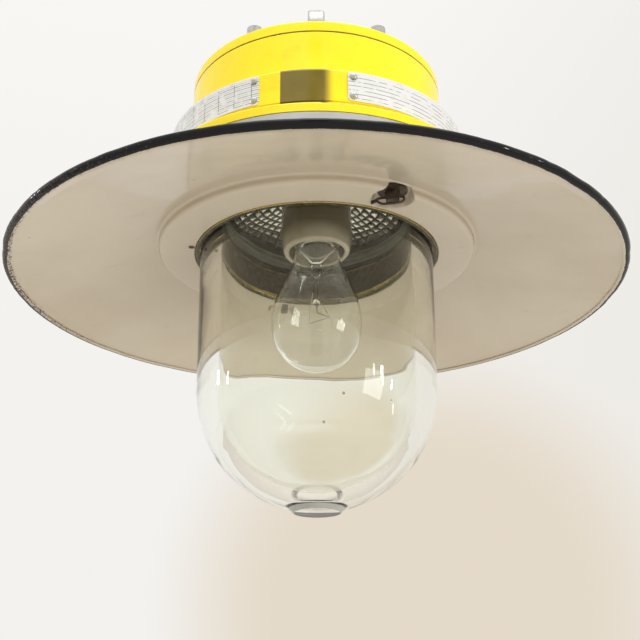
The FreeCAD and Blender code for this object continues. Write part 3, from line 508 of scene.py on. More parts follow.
def dull(s, first, second, roughness, scale=130, relief=0.08, sheen=0.0):
    """Non-metal surface: two tones, dirt and a fine relief."""
    tone = s.noise(scale, 5, 0.6)
    base = s.mix(s.ramp(tone, 0.32, 0.68), first, second)
    dirt = s.maths("MULTIPLY", s.ramp(s.noise(45, 6, 0.65), 0.52, 0.8), 0.35)
    s.set(Base_Color=s.mix(dirt, base, tuple(0.45 * c for c in second)))
    s.set(Roughness=s.ramp(tone, 0.3, 0.75, roughness, min(1.0, roughness + 0.18)))
    s.set(Normal=s.bump(tone, relief, s.soft_edges(0.25)))
    if sheen:
        s.set(Coat_Weight=sheen, Coat_Roughness=0.08)


def seal_rubber(s):
    dull(s, (0.030, 0.030, 0.031), (0.052, 0.050, 0.048), 0.62)


def fibre(s):
    dull(s, (0.19, 0.16, 0.11), (0.12, 0.095, 0.065), 0.75, 420, 0.12)


def brass(s):
    metal(s, (0.72, 0.53, 0.22), (0.25, 0.17, 0.07), 0.26, 0.6)


def ring_brass(s):
    """Brass, bright on the lip and nearly black on the face below it."""
    metal(s, (0.66, 0.50, 0.15), (0.17, 0.12, 0.035), 0.22, 0.55, 90)
    _, _, height = s.axis_parts()
    below = s.ramp(height, 22.1, 21.7)
    colour_before = s.shader.inputs["Base Color"].links[0].from_socket
    s.set(Base_Color=s.mix(below, colour_before, (0.022, 0.018, 0.009)))
    s.set(Metallic=s.maths("SUBTRACT", 0.9, s.maths("MULTIPLY", below, 0.7)))


def porcelain(s):
    """Glazed porcelain, light at the mouth and painted darker higher up as painted shade, since the holder is
    lit only from below.
    """
    dull(s, (0.66, 0.60, 0.46), (0.57, 0.50, 0.36), 0.16, 24, 0.10, 0.6)
    _, _, height = s.axis_parts()
    # Painted shade: the holder darkens upwards, away from the light below it
    painted_shade_higher = s.ramp(s.maths("ADD", height, s.maths("MULTIPLY", s.noise(40, 4), 8.0)), 27.5, 42.0)
    colour_before = s.shader.inputs["Base Color"].links[0].from_socket
    s.set(Base_Color=s.mix(s.maths("MULTIPLY", painted_shade_higher, 0.92), colour_before, (0.155, 0.115, 0.048)))


def moulding(s):
    dull(s, (0.055, 0.027, 0.015), (0.035, 0.018, 0.011), 0.28, 60, 0.04, 0.3)


def bright_aluminium(s):
    """Bright dimpled sheet, darkened nearly to black in the grooves between the dimples."""
    metal(s, (0.90, 0.90, 0.87), (0.34, 0.31, 0.23), 0.09, 0.50, 60, 0.01)
    radius, angle, _ = s.axis_parts()
    along = s.maths("MULTIPLY", s.maths("SUBTRACT", radius, DISH_IN_R), math.pi / DIMPLE_PITCH)
    round_about = s.maths("MULTIPLY", angle, DIMPLES_ROUND / 2)
    cell = s.maths("MINIMUM", s.maths("ABSOLUTE", s.maths("SINE", along)),
                   s.maths("ABSOLUTE", s.maths("SINE", round_about)))
    groove_darkening = s.ramp(cell, 0.62, 0.30, 0.0, 0.93)
    colour_before = s.shader.inputs["Base Color"].links[0].from_socket
    s.set(Base_Color=s.mix(groove_darkening, colour_before, (0.030, 0.026, 0.013)))
    s.set(Metallic=s.maths("SUBTRACT", 0.95, s.maths("MULTIPLY", groove_darkening, 0.8)))


def inner_grey(s):
    """Dull grey ring, darkened nearly to black towards the reflector."""
    dull(s, (0.235, 0.255, 0.215), (0.19, 0.205, 0.17), 0.34, 90, 0.05, 0.15)
    _, _, height = s.axis_parts()
    colour_before = s.shader.inputs["Base Color"].links[0].from_socket
    s.set(Base_Color=s.mix(s.ramp(height, 50.2, 51.6, 0.0, 0.9), colour_before, (0.030, 0.028, 0.018)))


def cement(s):
    dull(s, (0.115, 0.092, 0.045), (0.070, 0.054, 0.026), 0.8, 300, 0.15)


def wire_sleeve(s):
    dull(s, (0.16, 0.12, 0.09), (0.11, 0.085, 0.065), 0.6, 500, 0.06)


def lead_metal(s):
    metal(s, (0.55, 0.50, 0.44), (0.25, 0.21, 0.17), 0.25, 0.4)


def tungsten(s):
    metal(s, (0.22, 0.21, 0.21), (0.09, 0.09, 0.10), 0.35, 0.5, 400)


def cap_metal(s):
    metal(s, (0.76, 0.73, 0.66), (0.42, 0.36, 0.26), 0.28, 0.5, 140)


def cap_insulator(s):
    dull(s, (0.020, 0.018, 0.035), (0.035, 0.03, 0.05), 0.12, 200, 0.03, 0.5)


def solder(s):
    metal(s, (0.52, 0.52, 0.54), (0.30, 0.30, 0.31), 0.30, 0.5, 350, 0.08)


def clear_glass(s, tint, ripple, speck_scale, rarity, marks=(), frost=0.0):
    """Clear glass with slow ripples, a little grime and seeds; marks are single seeds in millimetres."""
    seed = s.maths("MULTIPLY", s.ramp(s.cells(speck_scale), 0.060, 0.030),
                   s.ramp(s.noise(31, 2), rarity, rarity + 0.03))
    for x, y, height in marks:
        node = s.node("ShaderNodeVectorMath", operation="DISTANCE")
        s.feed(node.inputs[0], s.place)
        node.inputs[1].default_value = (x * MM, y * MM, RIM_Z + height * MM)
        seed = s.maths("MAXIMUM", seed, s.ramp(node.outputs["Value"], 1.1 * MM, 0.6 * MM))
    haze = s.maths("MULTIPLY", s.ramp(s.noise(22, 5, 0.6), 0.5, 0.85), 0.08)
    darker = tuple(0.93 * c for c in tint)
    s.set(Base_Color=s.mix(seed, s.mix(haze, tint, darker), (0.25, 0.22, 0.18)))
    s.set(Transmission_Weight=s.maths("SUBTRACT", 1.0, s.maths("MULTIPLY", seed, 0.6)))
    s.set(IOR=1.5)
    s.set(Roughness=s.maths("MAXIMUM", s.maths("MULTIPLY", seed, 0.4), frost))
    s.set(Normal=s.bump(s.noise(17, 2), ripple, s.bump(seed, 0.15)))


def dome_glass(s):
    """Thick pressed glass; the edge of its foot is worn matt from standing."""
    radius, _, height = s.axis_parts()
    foot_top = low("glass_dome") + 2.6
    worn = s.maths("MULTIPLY", s.ramp(radius, 13.9, 14.5), s.ramp(height, foot_top + 0.5, foot_top))
    clear_glass(s, (0.965, 0.975, 0.915), 0.22, 46, 0.66, DOME_SEEDS, s.maths("MULTIPLY", worn, 0.42))
    colour_before = s.shader.inputs["Base Color"].links[0].from_socket
    s.set(Base_Color=s.mix(worn, colour_before, (0.93, 0.94, 0.88)))
    clear_before = s.shader.inputs["Transmission Weight"].links[0].from_socket
    s.set(Transmission_Weight=s.maths("SUBTRACT", clear_before, s.maths("MULTIPLY", worn, 0.35)))


def bulb_glass(s):
    clear_glass(s, (0.985, 0.990, 0.975), 0.05, 120, 0.70)


SURFACES = {make.__name__: make for make in (
    enamel, yellow_paint, grey_casting, label_metal, zinc_steel, rusty_steel, seal_rubber, fibre, brass,
    ring_brass, porcelain, moulding, bright_aluminium, inner_grey, dome_glass, bulb_glass, cement,
    wire_sleeve, lead_metal, tungsten, cap_metal, cap_insulator, solder)}
made_surfaces = {}


def surface_of(slot):
    if slot not in made_surfaces:
        surface = Surface(slot)
        SURFACES[slot](surface)
        made_surfaces[slot] = surface.material
    return made_surfaces[slot]


for node_name, node_object in frame["nodes"].items():
    finish_as(node_object, SLOT_OF[node_name])


# ---------------------------------------------------------------- shade

CAP_PITCH = 3.6                               # thread of the bulb's cap
SHADE_R = half_width("shade")
BEAD_R = 2.7
SHEET = 1.2
OPENING_R = half_width("glass_ring") + 0.6
RING_H = low("neck_housing") - SHEET          # underside of the flat ring
STEP_R = 104.2
CONE_IN_R, CONE_IN_H = STEP_R + 4.0, 27.15    # where the inside of the cone starts
OUTER_FOLD_R, OUTER_FOLD_H = STEP_R + 5.0, 28.2
POCKET_H = high("shade_washer")               # underside of the pockets, which the washer bears on
POCKET_FLOOR_R, POCKET_EDGE_R = 11.4, 12.6
BACK_STUD_ANGLE = math.radians(109.3)
SHADE_SEGMENTS = 720
SHADE_CREASE = 60
bead_x = SHADE_R - BEAD_R

washer_low, washer_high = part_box("shade_washer")
FRONT_STUD = (washer_low + washer_high) / 2
STUD_R = math.hypot(FRONT_STUD.x, FRONT_STUD.y)
BACK_STUD = Vector((math.cos(BACK_STUD_ANGLE), math.sin(BACK_STUD_ANGLE), 0)) * STUD_R


def shade_under():
    """Inside of the shade: flat ring, step, cone with a slight turn-down."""
    flat = divided(rounded([(OPENING_R, RING_H + 0.4), (OPENING_R + 0.4, RING_H), (STEP_R, RING_H, 2.6),
                            (STEP_R, 28.3, 1.6), (CONE_IN_R, CONE_IN_H)]), 0.8)
    cone = divided(rounded([(CONE_IN_R, CONE_IN_H), (189.5, 3.95, 30.0), (bead_x - 1.7, 1.6)]), 3.0)
    return flat + cone[1:]


def shade_over():
    """Rolled rim, then the outside back to the opening."""
    bead = []
    for degrees in range(220, 500, 20):
        turn = math.radians(degrees)
        bead.append(Vector((bead_x + BEAD_R * math.cos(turn), BEAD_R + BEAD_R * math.sin(turn))))
    cone = divided([Vector((bead_x - 2.6, 4.3)), Vector((OUTER_FOLD_R, OUTER_FOLD_H))], 4.0)
    flat = divided(rounded([(OUTER_FOLD_R, OUTER_FOLD_H), (STEP_R - SHEET, 29.6, 2.8),
                            (STEP_R - SHEET, RING_H + SHEET, 1.4), (OPENING_R + 0.4, RING_H + SHEET),
                            (OPENING_R, RING_H + SHEET - 0.4)]), 0.8)
    return bead + cone + flat[1:]


def shade_warp(r, angle, h):
    """Hand-formed sheet: the cone wanders a little, the bead has dents, the bearing ring stays flat."""
    out = smooth_step(r, 110.0, 185.0)
    rim = smooth_step(r, 190.0, 196.0)
    spot = Vector((math.cos(angle), math.sin(angle), 0))
    wander = noise.noise(spot * 1.7 + Vector((3.1, 0.4, 7.7))) * out * (1 - rim)
    dent = max(0.0, noise.noise(spot * 9.0 + Vector((1.5, 8.2, 0.3))) - 0.15)
    fine = max(0.0, noise.noise(spot * 34.0 + Vector((6.5, 2.2, h * 0.05))))
    return r - rim * (0.9 * dent + 0.35 * fine), angle, h + 0.35 * wander


under_path = shade_under()
shade = lathe("shade_enamelled", under_path + shade_over(), SHADE_SEGMENTS, closed=True, warp=shade_warp,
              crease=SHADE_CREASE)
UNDER_COUNT = len(under_path) * SHADE_SEGMENTS


def press_pockets(piece):
    """Raises the sheet to a round flat pocket at each stud."""
    for vertex in piece.data.vertices:
        flat = vertex.co.xy
        near = min((flat - stud.xy).length for stud in (FRONT_STUD, BACK_STUD)) / MM
        if near > POCKET_EDGE_R or flat.length > (STEP_R + 0.5) * MM:
            continue
        pressed = 1 - smooth_step(near, POCKET_FLOOR_R, POCKET_EDGE_R)
        target = RIM_Z + (POCKET_H + (0.0 if vertex.index < UNDER_COUNT else SHEET)) * MM
        vertex.co.z += (target - vertex.co.z) * pressed
    piece.data.update()
    piece.data.set_sharp_from_angle(angle=math.radians(SHADE_CREASE))


press_pockets(shade)


def whiteness(index, _r, _angle):
    """1 on the inside, 0 on the outside, with the change at the bottom of the bead."""
    if index < UNDER_COUNT:
        return 1.0
    return 1 - smooth_step((index - UNDER_COUNT) // SHADE_SEGMENTS, 0.5, 3.5)


MOST_CHIPPED = math.radians(190)
KNOCK = (-81.3, -17.9)                        # middle of the chip beside the opening


def rim_wear(_index, r, angle):
    """The chips lie on the left of the rim, and one beside the opening."""
    near = smooth_step(r, bead_x - 6.0, bead_x - 1.5)
    side = 0.5 + 0.5 * math.cos(angle - MOST_CHIPPED)
    knock = math.hypot(r * math.cos(angle) - KNOCK[0], r * math.sin(angle) - KNOCK[1])
    return near * side ** 4 + 1.5 * (1 - smooth_step(knock, 1.5, 3.5))


set_attribute(shade, "white", whiteness)
set_attribute(shade, "wear", rim_wear)
stand_for(shade, "shade")


# ---------------------------------------------------------------- glass

DOME_TOP_R = half_width("glass_dome")
DOME_R = DOME_TOP_R - 1.2
DOME_WALL = 12.5
DOME_LOW_H = low("glass_dome")
DOME_SHOULDER_H = 24.2                        # the shoulder rests in the ring, the neck goes up inside it
NECK_R = 74.0
FOOT_R = 15.2
FOOT_DEPTH = 1.2
DOME_CENTRE_H = DOME_LOW_H + FOOT_DEPTH + DOME_R
RING_TOP_H = high("glass_ring")
RING_LOW_H = low("glass_ring")


def dome_path():
    """Outside from the foot up, over the mouth, and down the inside."""
    points = [Vector((0, DOME_LOW_H)), Vector((FOOT_R - 1.4, DOME_LOW_H))]
    points += rounded([(FOOT_R - 1.4, DOME_LOW_H), (FOOT_R - 0.4, DOME_LOW_H, 0.8),
                       (FOOT_R + 0.6, DOME_LOW_H + 1.4)])[1:]
    start = math.asin((FOOT_R + 2.6) / DOME_R)
    for k in range(41):
        turn = start + (math.pi / 2 - start) * k / 40
        points.append(Vector((DOME_R * math.sin(turn), DOME_CENTRE_H - DOME_R * math.cos(turn))))
    inner_r = DOME_R - DOME_WALL
    points += rounded([(DOME_R, DOME_CENTRE_H), (DOME_TOP_R, DOME_SHOULDER_H, 0.8),
                       (NECK_R, DOME_SHOULDER_H, 0.4), (NECK_R, RING_TOP_H, 1.0),
                       (inner_r, RING_TOP_H, 1.5), (inner_r, DOME_CENTRE_H)])[1:]
    for k in range(1, 37):
        turn = math.pi / 2 * (1 - k / 36)
        points.append(Vector((inner_r * math.sin(turn), DOME_CENTRE_H - inner_r * math.cos(turn))))
    points[-1].x = 0.0
    return divided(points, 6.0)


def dome_warp(r, angle, h):
    """Pressed glass: the inside wanders more than the outside."""
    inside = r < DOME_R - DOME_WALL + 0.6 and h > DOME_LOW_H + 12
    free = 1 - smooth_step(h, 5.0, 20.0)
    spot = Vector((r * math.cos(angle), r * math.sin(angle), h)) / 55.0
    wave = noise.noise(spot + Vector((4.2, 1.1, 9.5)))
    return r + free * wave * (0.8 if inside else -0.12) * min(1.0, r / 20.0), angle, h


dome = lathe("dome_of_glass", dome_path(), 256, warp=dome_warp, crease=50)
stand_for(dome, "glass_dome")


def threaded(path, pitch, depth, thread_low, thread_high, surface_r, inward=False):
    """Path and warp of a turned piece whose face at surface_r carries a rounded right-hand thread."""
    def warp(r, angle, h):
        on_face = abs(r - surface_r) < 0.02
        fade_out = smooth_step(h, thread_high - pitch, thread_high)
        fade = smooth_step(h, thread_low, thread_low + pitch) * (1 - fade_out)
        wave = 0.5 - 0.5 * math.cos(2 * math.pi * h / pitch - angle)
        return r + (depth if inward else -depth) * wave * fade * on_face, angle, h
    return divided([Vector(p[:2]) for p in path], pitch / 9), warp


RING_R = half_width("glass_ring")
RING_BORE_R, RING_LIP_R, RING_LIP_TOP_H = 76.0, 77.6, 24.5
ring_path, ring_warp = threaded(
    rounded([(RING_LIP_R, RING_LOW_H), (RING_R - 0.7, RING_LOW_H), (RING_R, RING_LOW_H + 0.7),
             (RING_R, RING_TOP_H - 0.6), (RING_R - 0.6, RING_TOP_H), (RING_BORE_R, RING_TOP_H),
             (RING_BORE_R, RING_LIP_TOP_H), (RING_LIP_R, RING_LIP_TOP_H), (RING_LIP_R, RING_LOW_H)]),
    THREAD_PITCH, 1.1, 25.0, RING_TOP_H, RING_R)
glass_ring = lathe("ring_threaded", ring_path[:-1], 240, closed=True, warp=ring_warp, crease=50)
stand_for(glass_ring, "glass_ring")


# ---------------------------------------------------------------- bulb

BULB_R = half_width("bulb_envelope")
BULB_LOW_H = low("bulb_envelope")
BULB_LEAN = 25                                # degrees, half angle of the taper to the neck
BULB_SHOULDER = 13.9                          # from the middle of the round up to the taper
BULB_NECK_R = 15.2
BULB_WALL = 0.8
CAP_H = low("bulb_cap")


def bulb_path(inset):
    """Outline of the envelope from the bottom up, moved inwards by inset."""
    radius = BULB_R - inset
    centre_h = BULB_LOW_H + BULB_R
    lean = math.radians(BULB_LEAN)
    shoulder_h = centre_h + BULB_SHOULDER - inset * math.tan(lean / 2)
    neck_r = BULB_NECK_R - inset
    neck_h = shoulder_h + (radius - neck_r) / math.tan(lean)
    points = []
    for k in range(31):
        turn = math.pi / 2 * k / 30
        points.append(Vector((radius * math.sin(turn), centre_h - radius * math.cos(turn))))
    points[0].x = 0.0
    points += rounded([(radius, centre_h), (radius, shoulder_h, 50.0 - inset), (neck_r, neck_h, 24.0),
                       (neck_r, CAP_H - 3.0, 2.0), (12.9 - inset, CAP_H)], 4.0)[1:]
    return points


def bulb_warp(r, angle, h):
    """Blown glass is never quite round."""
    spot = Vector((math.cos(angle), math.sin(angle), h / 30.0))
    free = 1 - smooth_step(h, 5.0, 20.0)
    hollow = abs(noise.noise(spot * 1.3 + Vector((2.2, 5.1, 0.7))))
    return r - hollow * 0.25 * free * min(1.0, r / 12.0), angle, h


envelope_path = divided(bulb_path(0), 3.0) + divided(bulb_path(BULB_WALL), 3.0)[::-1]
envelope = lathe("bulb_of_glass", envelope_path, 160, warp=bulb_warp, crease=50)
stand_for(envelope, "bulb_envelope")

CAP_R = half_width("bulb_cap")
cap_path, cap_warp = threaded(
    rounded([(12.6, CAP_H), (CAP_R, CAP_H), (CAP_R, 50.0), (12.4, 51.0), (9.0, 52.0), (9.0, 51.5),
             (11.6, 49.9), (12.6, CAP_H)]), CAP_PITCH, 0.75, CAP_H + 2.0, 49.0, CAP_R)
cap = lathe("bulb_cap_threaded", cap_path[:-1], 96, closed=True, warp=cap_warp, crease=50)
stand_for(cap, "bulb_cap")

shell_low, shell_high = low("lampholder_shell"), high("lampholder_shell")
SHELL_R = half_width("lampholder_shell")
SHELL_BORE_R, SHELL_HOLE_R, SHELL_SHEET = 13.25, 9.5, 0.7
shell_path, shell_warp = threaded(
    rounded([(SHELL_BORE_R, shell_low), (SHELL_R, shell_low), (SHELL_R, shell_high),
             (SHELL_HOLE_R, shell_high), (SHELL_HOLE_R, shell_high - SHELL_SHEET),
             (SHELL_BORE_R, shell_high - SHELL_SHEET), (SHELL_BORE_R, shell_low)]),
    CAP_PITCH, 0.7, shell_low + 1.0, shell_high - 2.0, SHELL_BORE_R, inward=True)
shell = lathe("holder_shell_threaded", shell_path[:-1], 96, closed=True, warp=shell_warp, crease=50)
stand_for(shell, "lampholder_shell")


def stem_warp(r, angle, h):
    """The pinch round the leads is pressed flat."""
    flat = smooth_step(h, 5.5, 9.0) * (1 - smooth_step(h, 16.0, 21.0))
    x, y = r * math.cos(angle), r * math.sin(angle) * (1 - 0.45 * flat)
    return math.hypot(x, y), math.atan2(y, x), h


BUTTON_H = low("bulb_stem")
stem_path = rounded([
    (0, BUTTON_H), (2.6, BUTTON_H, 1.6), (2.6, BUTTON_H + 3.6, 1.6), (1.1, BUTTON_H + 3.6, 0.6),
    (1.1, 6.0, 1.0), (3.6, 9.0, 2.0), (3.6, 17.0, 4.0), (11.9, 25.4, 3.0), (11.9, 26.8), (10.9, 26.8),
    (10.9, 26.0), (2.6, 17.5, 0.8), (0, 17.5)])
stem = lathe("bulb_stem_of_glass", divided(stem_path, 2.0), 64, warp=stem_warp, crease=50)
stand_for(stem, "bulb_stem")


def coiled(a, b, radius, wire, turns):
    """Fine coil from a to b, in metres."""
    along = (b - a).normalized()
    side = along.orthogonal().normalized()
    other = along.cross(side)
    steps = turns * 8
    points = []
    for k in range(steps + 1):
        angle = 2 * math.pi * k / 8
        out = (side * math.cos(angle) + other * math.sin(angle)) * radius
        points.append(a.lerp(b, k / steps) + out)
    return tube(points, wire, 5)


filament_low, filament_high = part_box("bulb_filament")
filament_z = (filament_low.z + filament_high.z) / 2
left_end = Vector((filament_low.x + 0.2 * MM, filament_high.y - 0.25 * MM, filament_z))
right_end = Vector((0.5 * MM, filament_low.y + 0.25 * MM, filament_z))
apex = Vector((filament_high.x - 0.25 * MM, -2.0 * MM, filament_z))
COIL_R, COIL_WIRE = 0.24 * MM, 0.07 * MM
filament = joined("filament_coiled", [coiled(left_end, apex, COIL_R, COIL_WIRE, 34),
                                      coiled(apex, right_end, COIL_R, COIL_WIRE, 26)])
stand_for(filament, "bulb_filament")


# ---------------------------------------------------------------- reflector

reflector_low = low("reflector")
DISH_HOLE_R, DISH_HOLE_H = 27.5, 67.5
PILLOW_HEIGHT = 0.55
PILLOW_POWER = 0.35                           # well under 1, so that the pillows are flat with steep sides


def dish_path():
    """Section of the reflector, from the outer rim inwards along the underside and back over the top."""
    under = rounded([(half_width("reflector"), reflector_low), (66.0, reflector_low, 5.0),
                     (DISH_HOLE_R, DISH_HOLE_H)])
    over = [point + Vector((0, SHEET)) for point in reversed(under)]
    return divided(under, 0.7) + divided(over, 4.0)


def dish_warp(r, angle, h):
    """Square pillows pressed into the dish from above."""
    along = (r - DISH_IN_R) / DIMPLE_PITCH
    round_about = angle / (2 * math.pi) * DIMPLES_ROUND
    inside = smooth_step(r, DISH_IN_R, DISH_IN_R + 0.8) * (1 - smooth_step(r, DISH_OUT_R - 0.8, DISH_OUT_R))
    pillow = (abs(math.sin(math.pi * along)) ** PILLOW_POWER
              * abs(math.sin(math.pi * round_about)) ** PILLOW_POWER)
    return r, angle, h + PILLOW_HEIGHT * pillow * inside


reflector = lathe("reflector_dimpled", dish_path(), DIMPLES_ROUND * 10, closed=True, warp=dish_warp,
                  crease=70)
stand_for(reflector, "reflector")


# ---------------------------------------------------------------- label plates

def curved_plate(name, node, start, sweep):
    """Thin plate bent round the wall, with rounded corners, a raised edge bead and slight buckling."""
    bottom, top = low(node), high(node)
    inner, outer = 99.0, 100.0
    length = math.radians(sweep) * outer
    columns, rows = 220, 34
    corner = 2.0
    verts = []
    for layer in (0, 1):
        for i in range(columns + 1):
            for k in range(rows + 1):
                u, v = i / columns, k / rows
                along = u * length
                up_in = min(v, 1 - v) * (top - bottom)
                side_in = min(along, length - along)
                shrink = 0.0
                if side_in < corner:
                    shrink = corner - math.sqrt(max(0.0, corner ** 2 - (corner - side_in) ** 2))
                height = bottom + shrink + v * (top - bottom - 2 * shrink)
                wave = 0.5 + 0.5 * noise.noise(Vector((along / 23.0, height / 14.0, 2.5 + start)))
                edge_in = min(side_in, up_in)
                bead = smooth_step(edge_in, 0.9, 1.3) * (1 - smooth_step(edge_in, 1.3, 1.8))
                radius = inner + 0.02 if layer == 0 else outer - 0.16 - 0.18 * wave + 0.14 * bead
                angle = math.radians(start) + along / outer
                verts.append(on_circle(radius, angle, height))
    stride = rows + 1
    sheet = (columns + 1) * stride
    faces = []
    for i in range(columns):
        for k in range(rows):
            a = i * stride + k
            faces.append([a, a + 1, a + stride + 1, a + stride])
            faces.append([sheet + a, sheet + a + stride, sheet + a + stride + 1, sheet + a + 1])
    border = [(i * stride, (i + 1) * stride) for i in range(columns)]
    border += [(columns * stride + k, columns * stride + k + 1) for k in range(rows)]
    border += [((i + 1) * stride + rows, i * stride + rows) for i in reversed(range(columns))]
    border += [(k + 1, k) for k in reversed(range(rows))]
    for a, b in border:
        faces.append([a, b, sheet + b, sheet + a])
    plate = make_object(name, verts, faces, 40)
    stand_for(plate, node)


PLATE_SWEEP = 85.0
curved_plate("rating_plate_ruled", "rating_plate", 164.5, PLATE_SWEEP)
curved_plate("notice_plate_ruled", "notice_plate", -78.9, PLATE_SWEEP)


# ---------------------------------------------------------------- wire clip

CLIP_WAY = math.radians(-100)         # the clip's own +along, turned from +Y
CLIP_WIRE = 0.75 * MM
TWIST_R = 0.62                                # the two ends of the wire, twisted together
TWIST_STEPS = 24
clip_h = RIM_Z + 23.2 * MM


def placed(along, across, drop):
    """Point of the clip, from distances along and across it and the drop from its hole, in millimetres."""
    x = (across * math.cos(CLIP_WAY) - along * math.sin(CLIP_WAY)) * MM
    y = (across * math.sin(CLIP_WAY) + along * math.cos(CLIP_WAY)) * MM
    return Vector((FRONT_STUD.x + x, FRONT_STUD.y + y, clip_h + drop * MM))


CLIP_ROUTE = (
    (-9.6, 0.0, -0.5), (-7.0, 0.0, 0.0), (5.0, 0.0, 0.0), (6.6, 0.2, -1.0), (6.4, 0.6, -3.0),
    (4.2, 1.0, -4.1), (-1.0, 1.2, -4.5), (-6.0, 0.9, -4.3), (-8.6, 0.3, -2.6), (-9.8, 0.0, -1.4),
)
clip_parts = [tube(bent([placed(*point) for point in CLIP_ROUTE]), CLIP_WIRE)]
for strand in (0, math.pi):
    twist = []
    for k in range(TWIST_STEPS + 1):
        part = k / TWIST_STEPS
        turn = strand + part * 3.2 * math.pi
        twist.append(placed(-9.0 - 3.8 * part, TWIST_R * math.cos(turn),
                            -0.9 - 1.6 * part + TWIST_R * math.sin(turn)))
    clip_parts.append(tube(twist, CLIP_WIRE * 0.8))
clip = joined("clip_wire_twisted", clip_parts, 80)
stand_for(clip, "shade_clip")


# ---------------------------------------------------------------- stage, light, camera

def stage_mesh(name, verts, faces, material):
    made = make_object(name, [Vector(v) for v in verts], faces)
    made.data.materials.append(material)
    return made


floor_surface = Surface("floor_matt")
floor_tone = floor_surface.noise(1.3, 3)
floor_surface.set(Base_Color=floor_surface.mix(floor_surface.ramp(floor_tone, 0.3, 0.7), (0.72, 0.685, 0.63),
                                               (0.70, 0.66, 0.60)), Roughness=0.75)
FLOOR_Z = -1.5
FLOOR_R = 9.0
rim_points = [(FLOOR_R * math.cos(math.radians(a)), FLOOR_R * math.sin(math.radians(a)), FLOOR_Z)
              for a in range(0, 360, 5)]
stage_mesh("floor", rim_points, [list(range(len(rim_points)))], floor_surface.material)

world = bpy.data.worlds.new("studio")
bpy.context.scene.world = world
world.use_nodes = True
tree = world.node_tree
tree.nodes.clear()
background = tree.nodes.new("ShaderNodeBackground")
tree.links.new(background.outputs[0], tree.nodes.new("ShaderNodeOutputWorld").inputs[0])
coord = tree.nodes.new("ShaderNodeTexCoord")


def facing(direction, start, end):
    """0 to 1 as the view direction turns towards a direction."""
    dot = tree.nodes.new("ShaderNodeVectorMath")
    dot.operation = "DOT_PRODUCT"
    dot.inputs[1].default_value = Vector(direction).normalized()
    tree.links.new(coord.outputs["Generated"], dot.inputs[0])
    spread = tree.nodes.new("ShaderNodeMapRange")
    spread.interpolation_type = "SMOOTHSTEP"
    tree.links.new(dot.outputs["Value"], spread.inputs["Value"])
    spread.inputs["From Min"].default_value = start
    spread.inputs["From Max"].default_value = end
    return spread.outputs[0]


def blended(factor, first, second):
    mix = tree.nodes.new("ShaderNodeMix")
    mix.data_type = "RGBA"
    tree.links.new(factor, mix.inputs[0])
    for socket, value in ((mix.inputs[6], first), (mix.inputs[7], second)):
        if isinstance(value, bpy.types.NodeSocket):
            tree.links.new(value, socket)
        else:
            socket.default_value = (*value, 1.0)
    return mix.outputs[2]


pale = (0.90, 0.885, 0.86)
warm = (0.78, 0.70, 0.585)
overhead = (0.98, 0.97, 0.95)
right_wall = (0.84, 0.815, 0.775)
UP, RIGHT_WALL_WAY, WARM_WAY = (0, 0, 1), (0.80, 0.60, 0.15), (0.0994, 0.9889, 0.1101)
sky = blended(facing(UP, 0.3, 0.9), pale, overhead)
sky = blended(facing(RIGHT_WALL_WAY, 0.55, 0.95), sky, right_wall)
sky = blended(facing(WARM_WAY, 0.966, 0.9925), sky, warm)
tree.links.new(sky, background.inputs["Color"])
background.inputs["Strength"].default_value = 1.0


def soft_light(name, place, aim, width, height, power, colour=(1, 1, 1)):
    data = bpy.data.lights.new(name, "AREA")
    data.shape = "RECTANGLE"
    data.size, data.size_y = width, height
    data.energy = power
    data.color = colour
    lamp = bpy.data.objects.new(name, data)
    bpy.context.scene.collection.objects.link(lamp)
    lamp.location = place
    lamp.rotation_euler = (Vector(aim) - Vector(place)).to_track_quat("-Z", "Y").to_euler()
    lamp.visible_camera = False
    return lamp


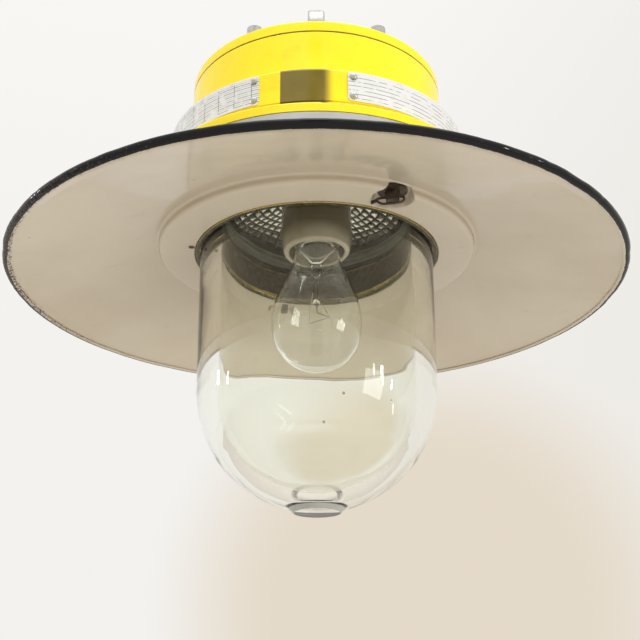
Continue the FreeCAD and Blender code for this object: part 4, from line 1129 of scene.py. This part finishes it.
centre = (size_before[0] + size_before[1]) / 2
soft_light("pane_right", (2.15, -1.22, 0.05), centre, 0.10, 0.45, 7, (0.93, 0.97, 1.0))
soft_light("pane_right_low", (2.38, -0.78, -0.28), centre, 0.08, 0.30, 4, (0.93, 0.97, 1.0))
soft_light("pane_left", (-2.30, 0.50, 0.25), centre, 0.12, 0.35, 6, (0.95, 0.98, 1.0))
soft_light("front_soft", (-0.5, -2.6, 1.5), centre, 1.8, 1.2, 34).visible_glossy = False
soft_light("side_soft", (2.2, -1.2, -0.45), centre, 1.0, 1.0, 16).visible_glossy = False
soft_light("overhead_soft", (0.2, -0.6, 2.4), centre, 2.4, 2.0, 26)

card_surface = Surface("dark_card")
card_tone = card_surface.noise(4, 3)
card_surface.set(Base_Color=card_surface.mix(card_tone, (0.05, 0.045, 0.02), (0.07, 0.06, 0.03)),
                 Roughness=0.9)
CARD_LEFT, CARD_RIGHT, CARD_Y = -0.22, 0.20, -2.2
CARD_LOW, CARD_HIGH = 0.35, 2.2
card_corners = [(CARD_LEFT, CARD_Y, CARD_LOW), (CARD_RIGHT, CARD_Y, CARD_LOW),
                (CARD_RIGHT, CARD_Y, CARD_HIGH), (CARD_LEFT, CARD_Y, CARD_HIGH)]
card = stage_mesh("dark_card", card_corners, [[0, 1, 2, 3]], card_surface.material)
card.visible_camera = False
card.visible_transmission = False
card.visible_diffuse = False
card.visible_shadow = False

camera_data = bpy.data.cameras.new("camera")
camera_data.sensor_width = 36.0
camera_data.lens = 59.78
camera_data.clip_start, camera_data.clip_end = 0.02, 60.0
camera = bpy.data.objects.new("camera", camera_data)
bpy.context.scene.collection.objects.link(camera)
CAMERA_Y, CAMERA_UNDER_RIM = -0.643, 0.2767
CAMERA_PITCH, CAMERA_ROLL, CAMERA_YAW = 0.377284, 0.00297, -0.00212
camera.location = (0.0, CAMERA_Y, RIM_Z - CAMERA_UNDER_RIM)
camera.rotation_mode = "XYZ"
camera.rotation_euler = (math.pi / 2 + CAMERA_PITCH, CAMERA_ROLL, CAMERA_YAW)
bpy.context.scene.camera = camera
bpy.context.scene.view_settings.view_transform = "Standard"
LIGHT_BOUNCES = 16
bpy.context.scene.cycles.max_bounces = LIGHT_BOUNCES
bpy.context.scene.cycles.transmission_bounces = LIGHT_BOUNCES
bpy.context.scene.cycles.transparent_max_bounces = LIGHT_BOUNCES
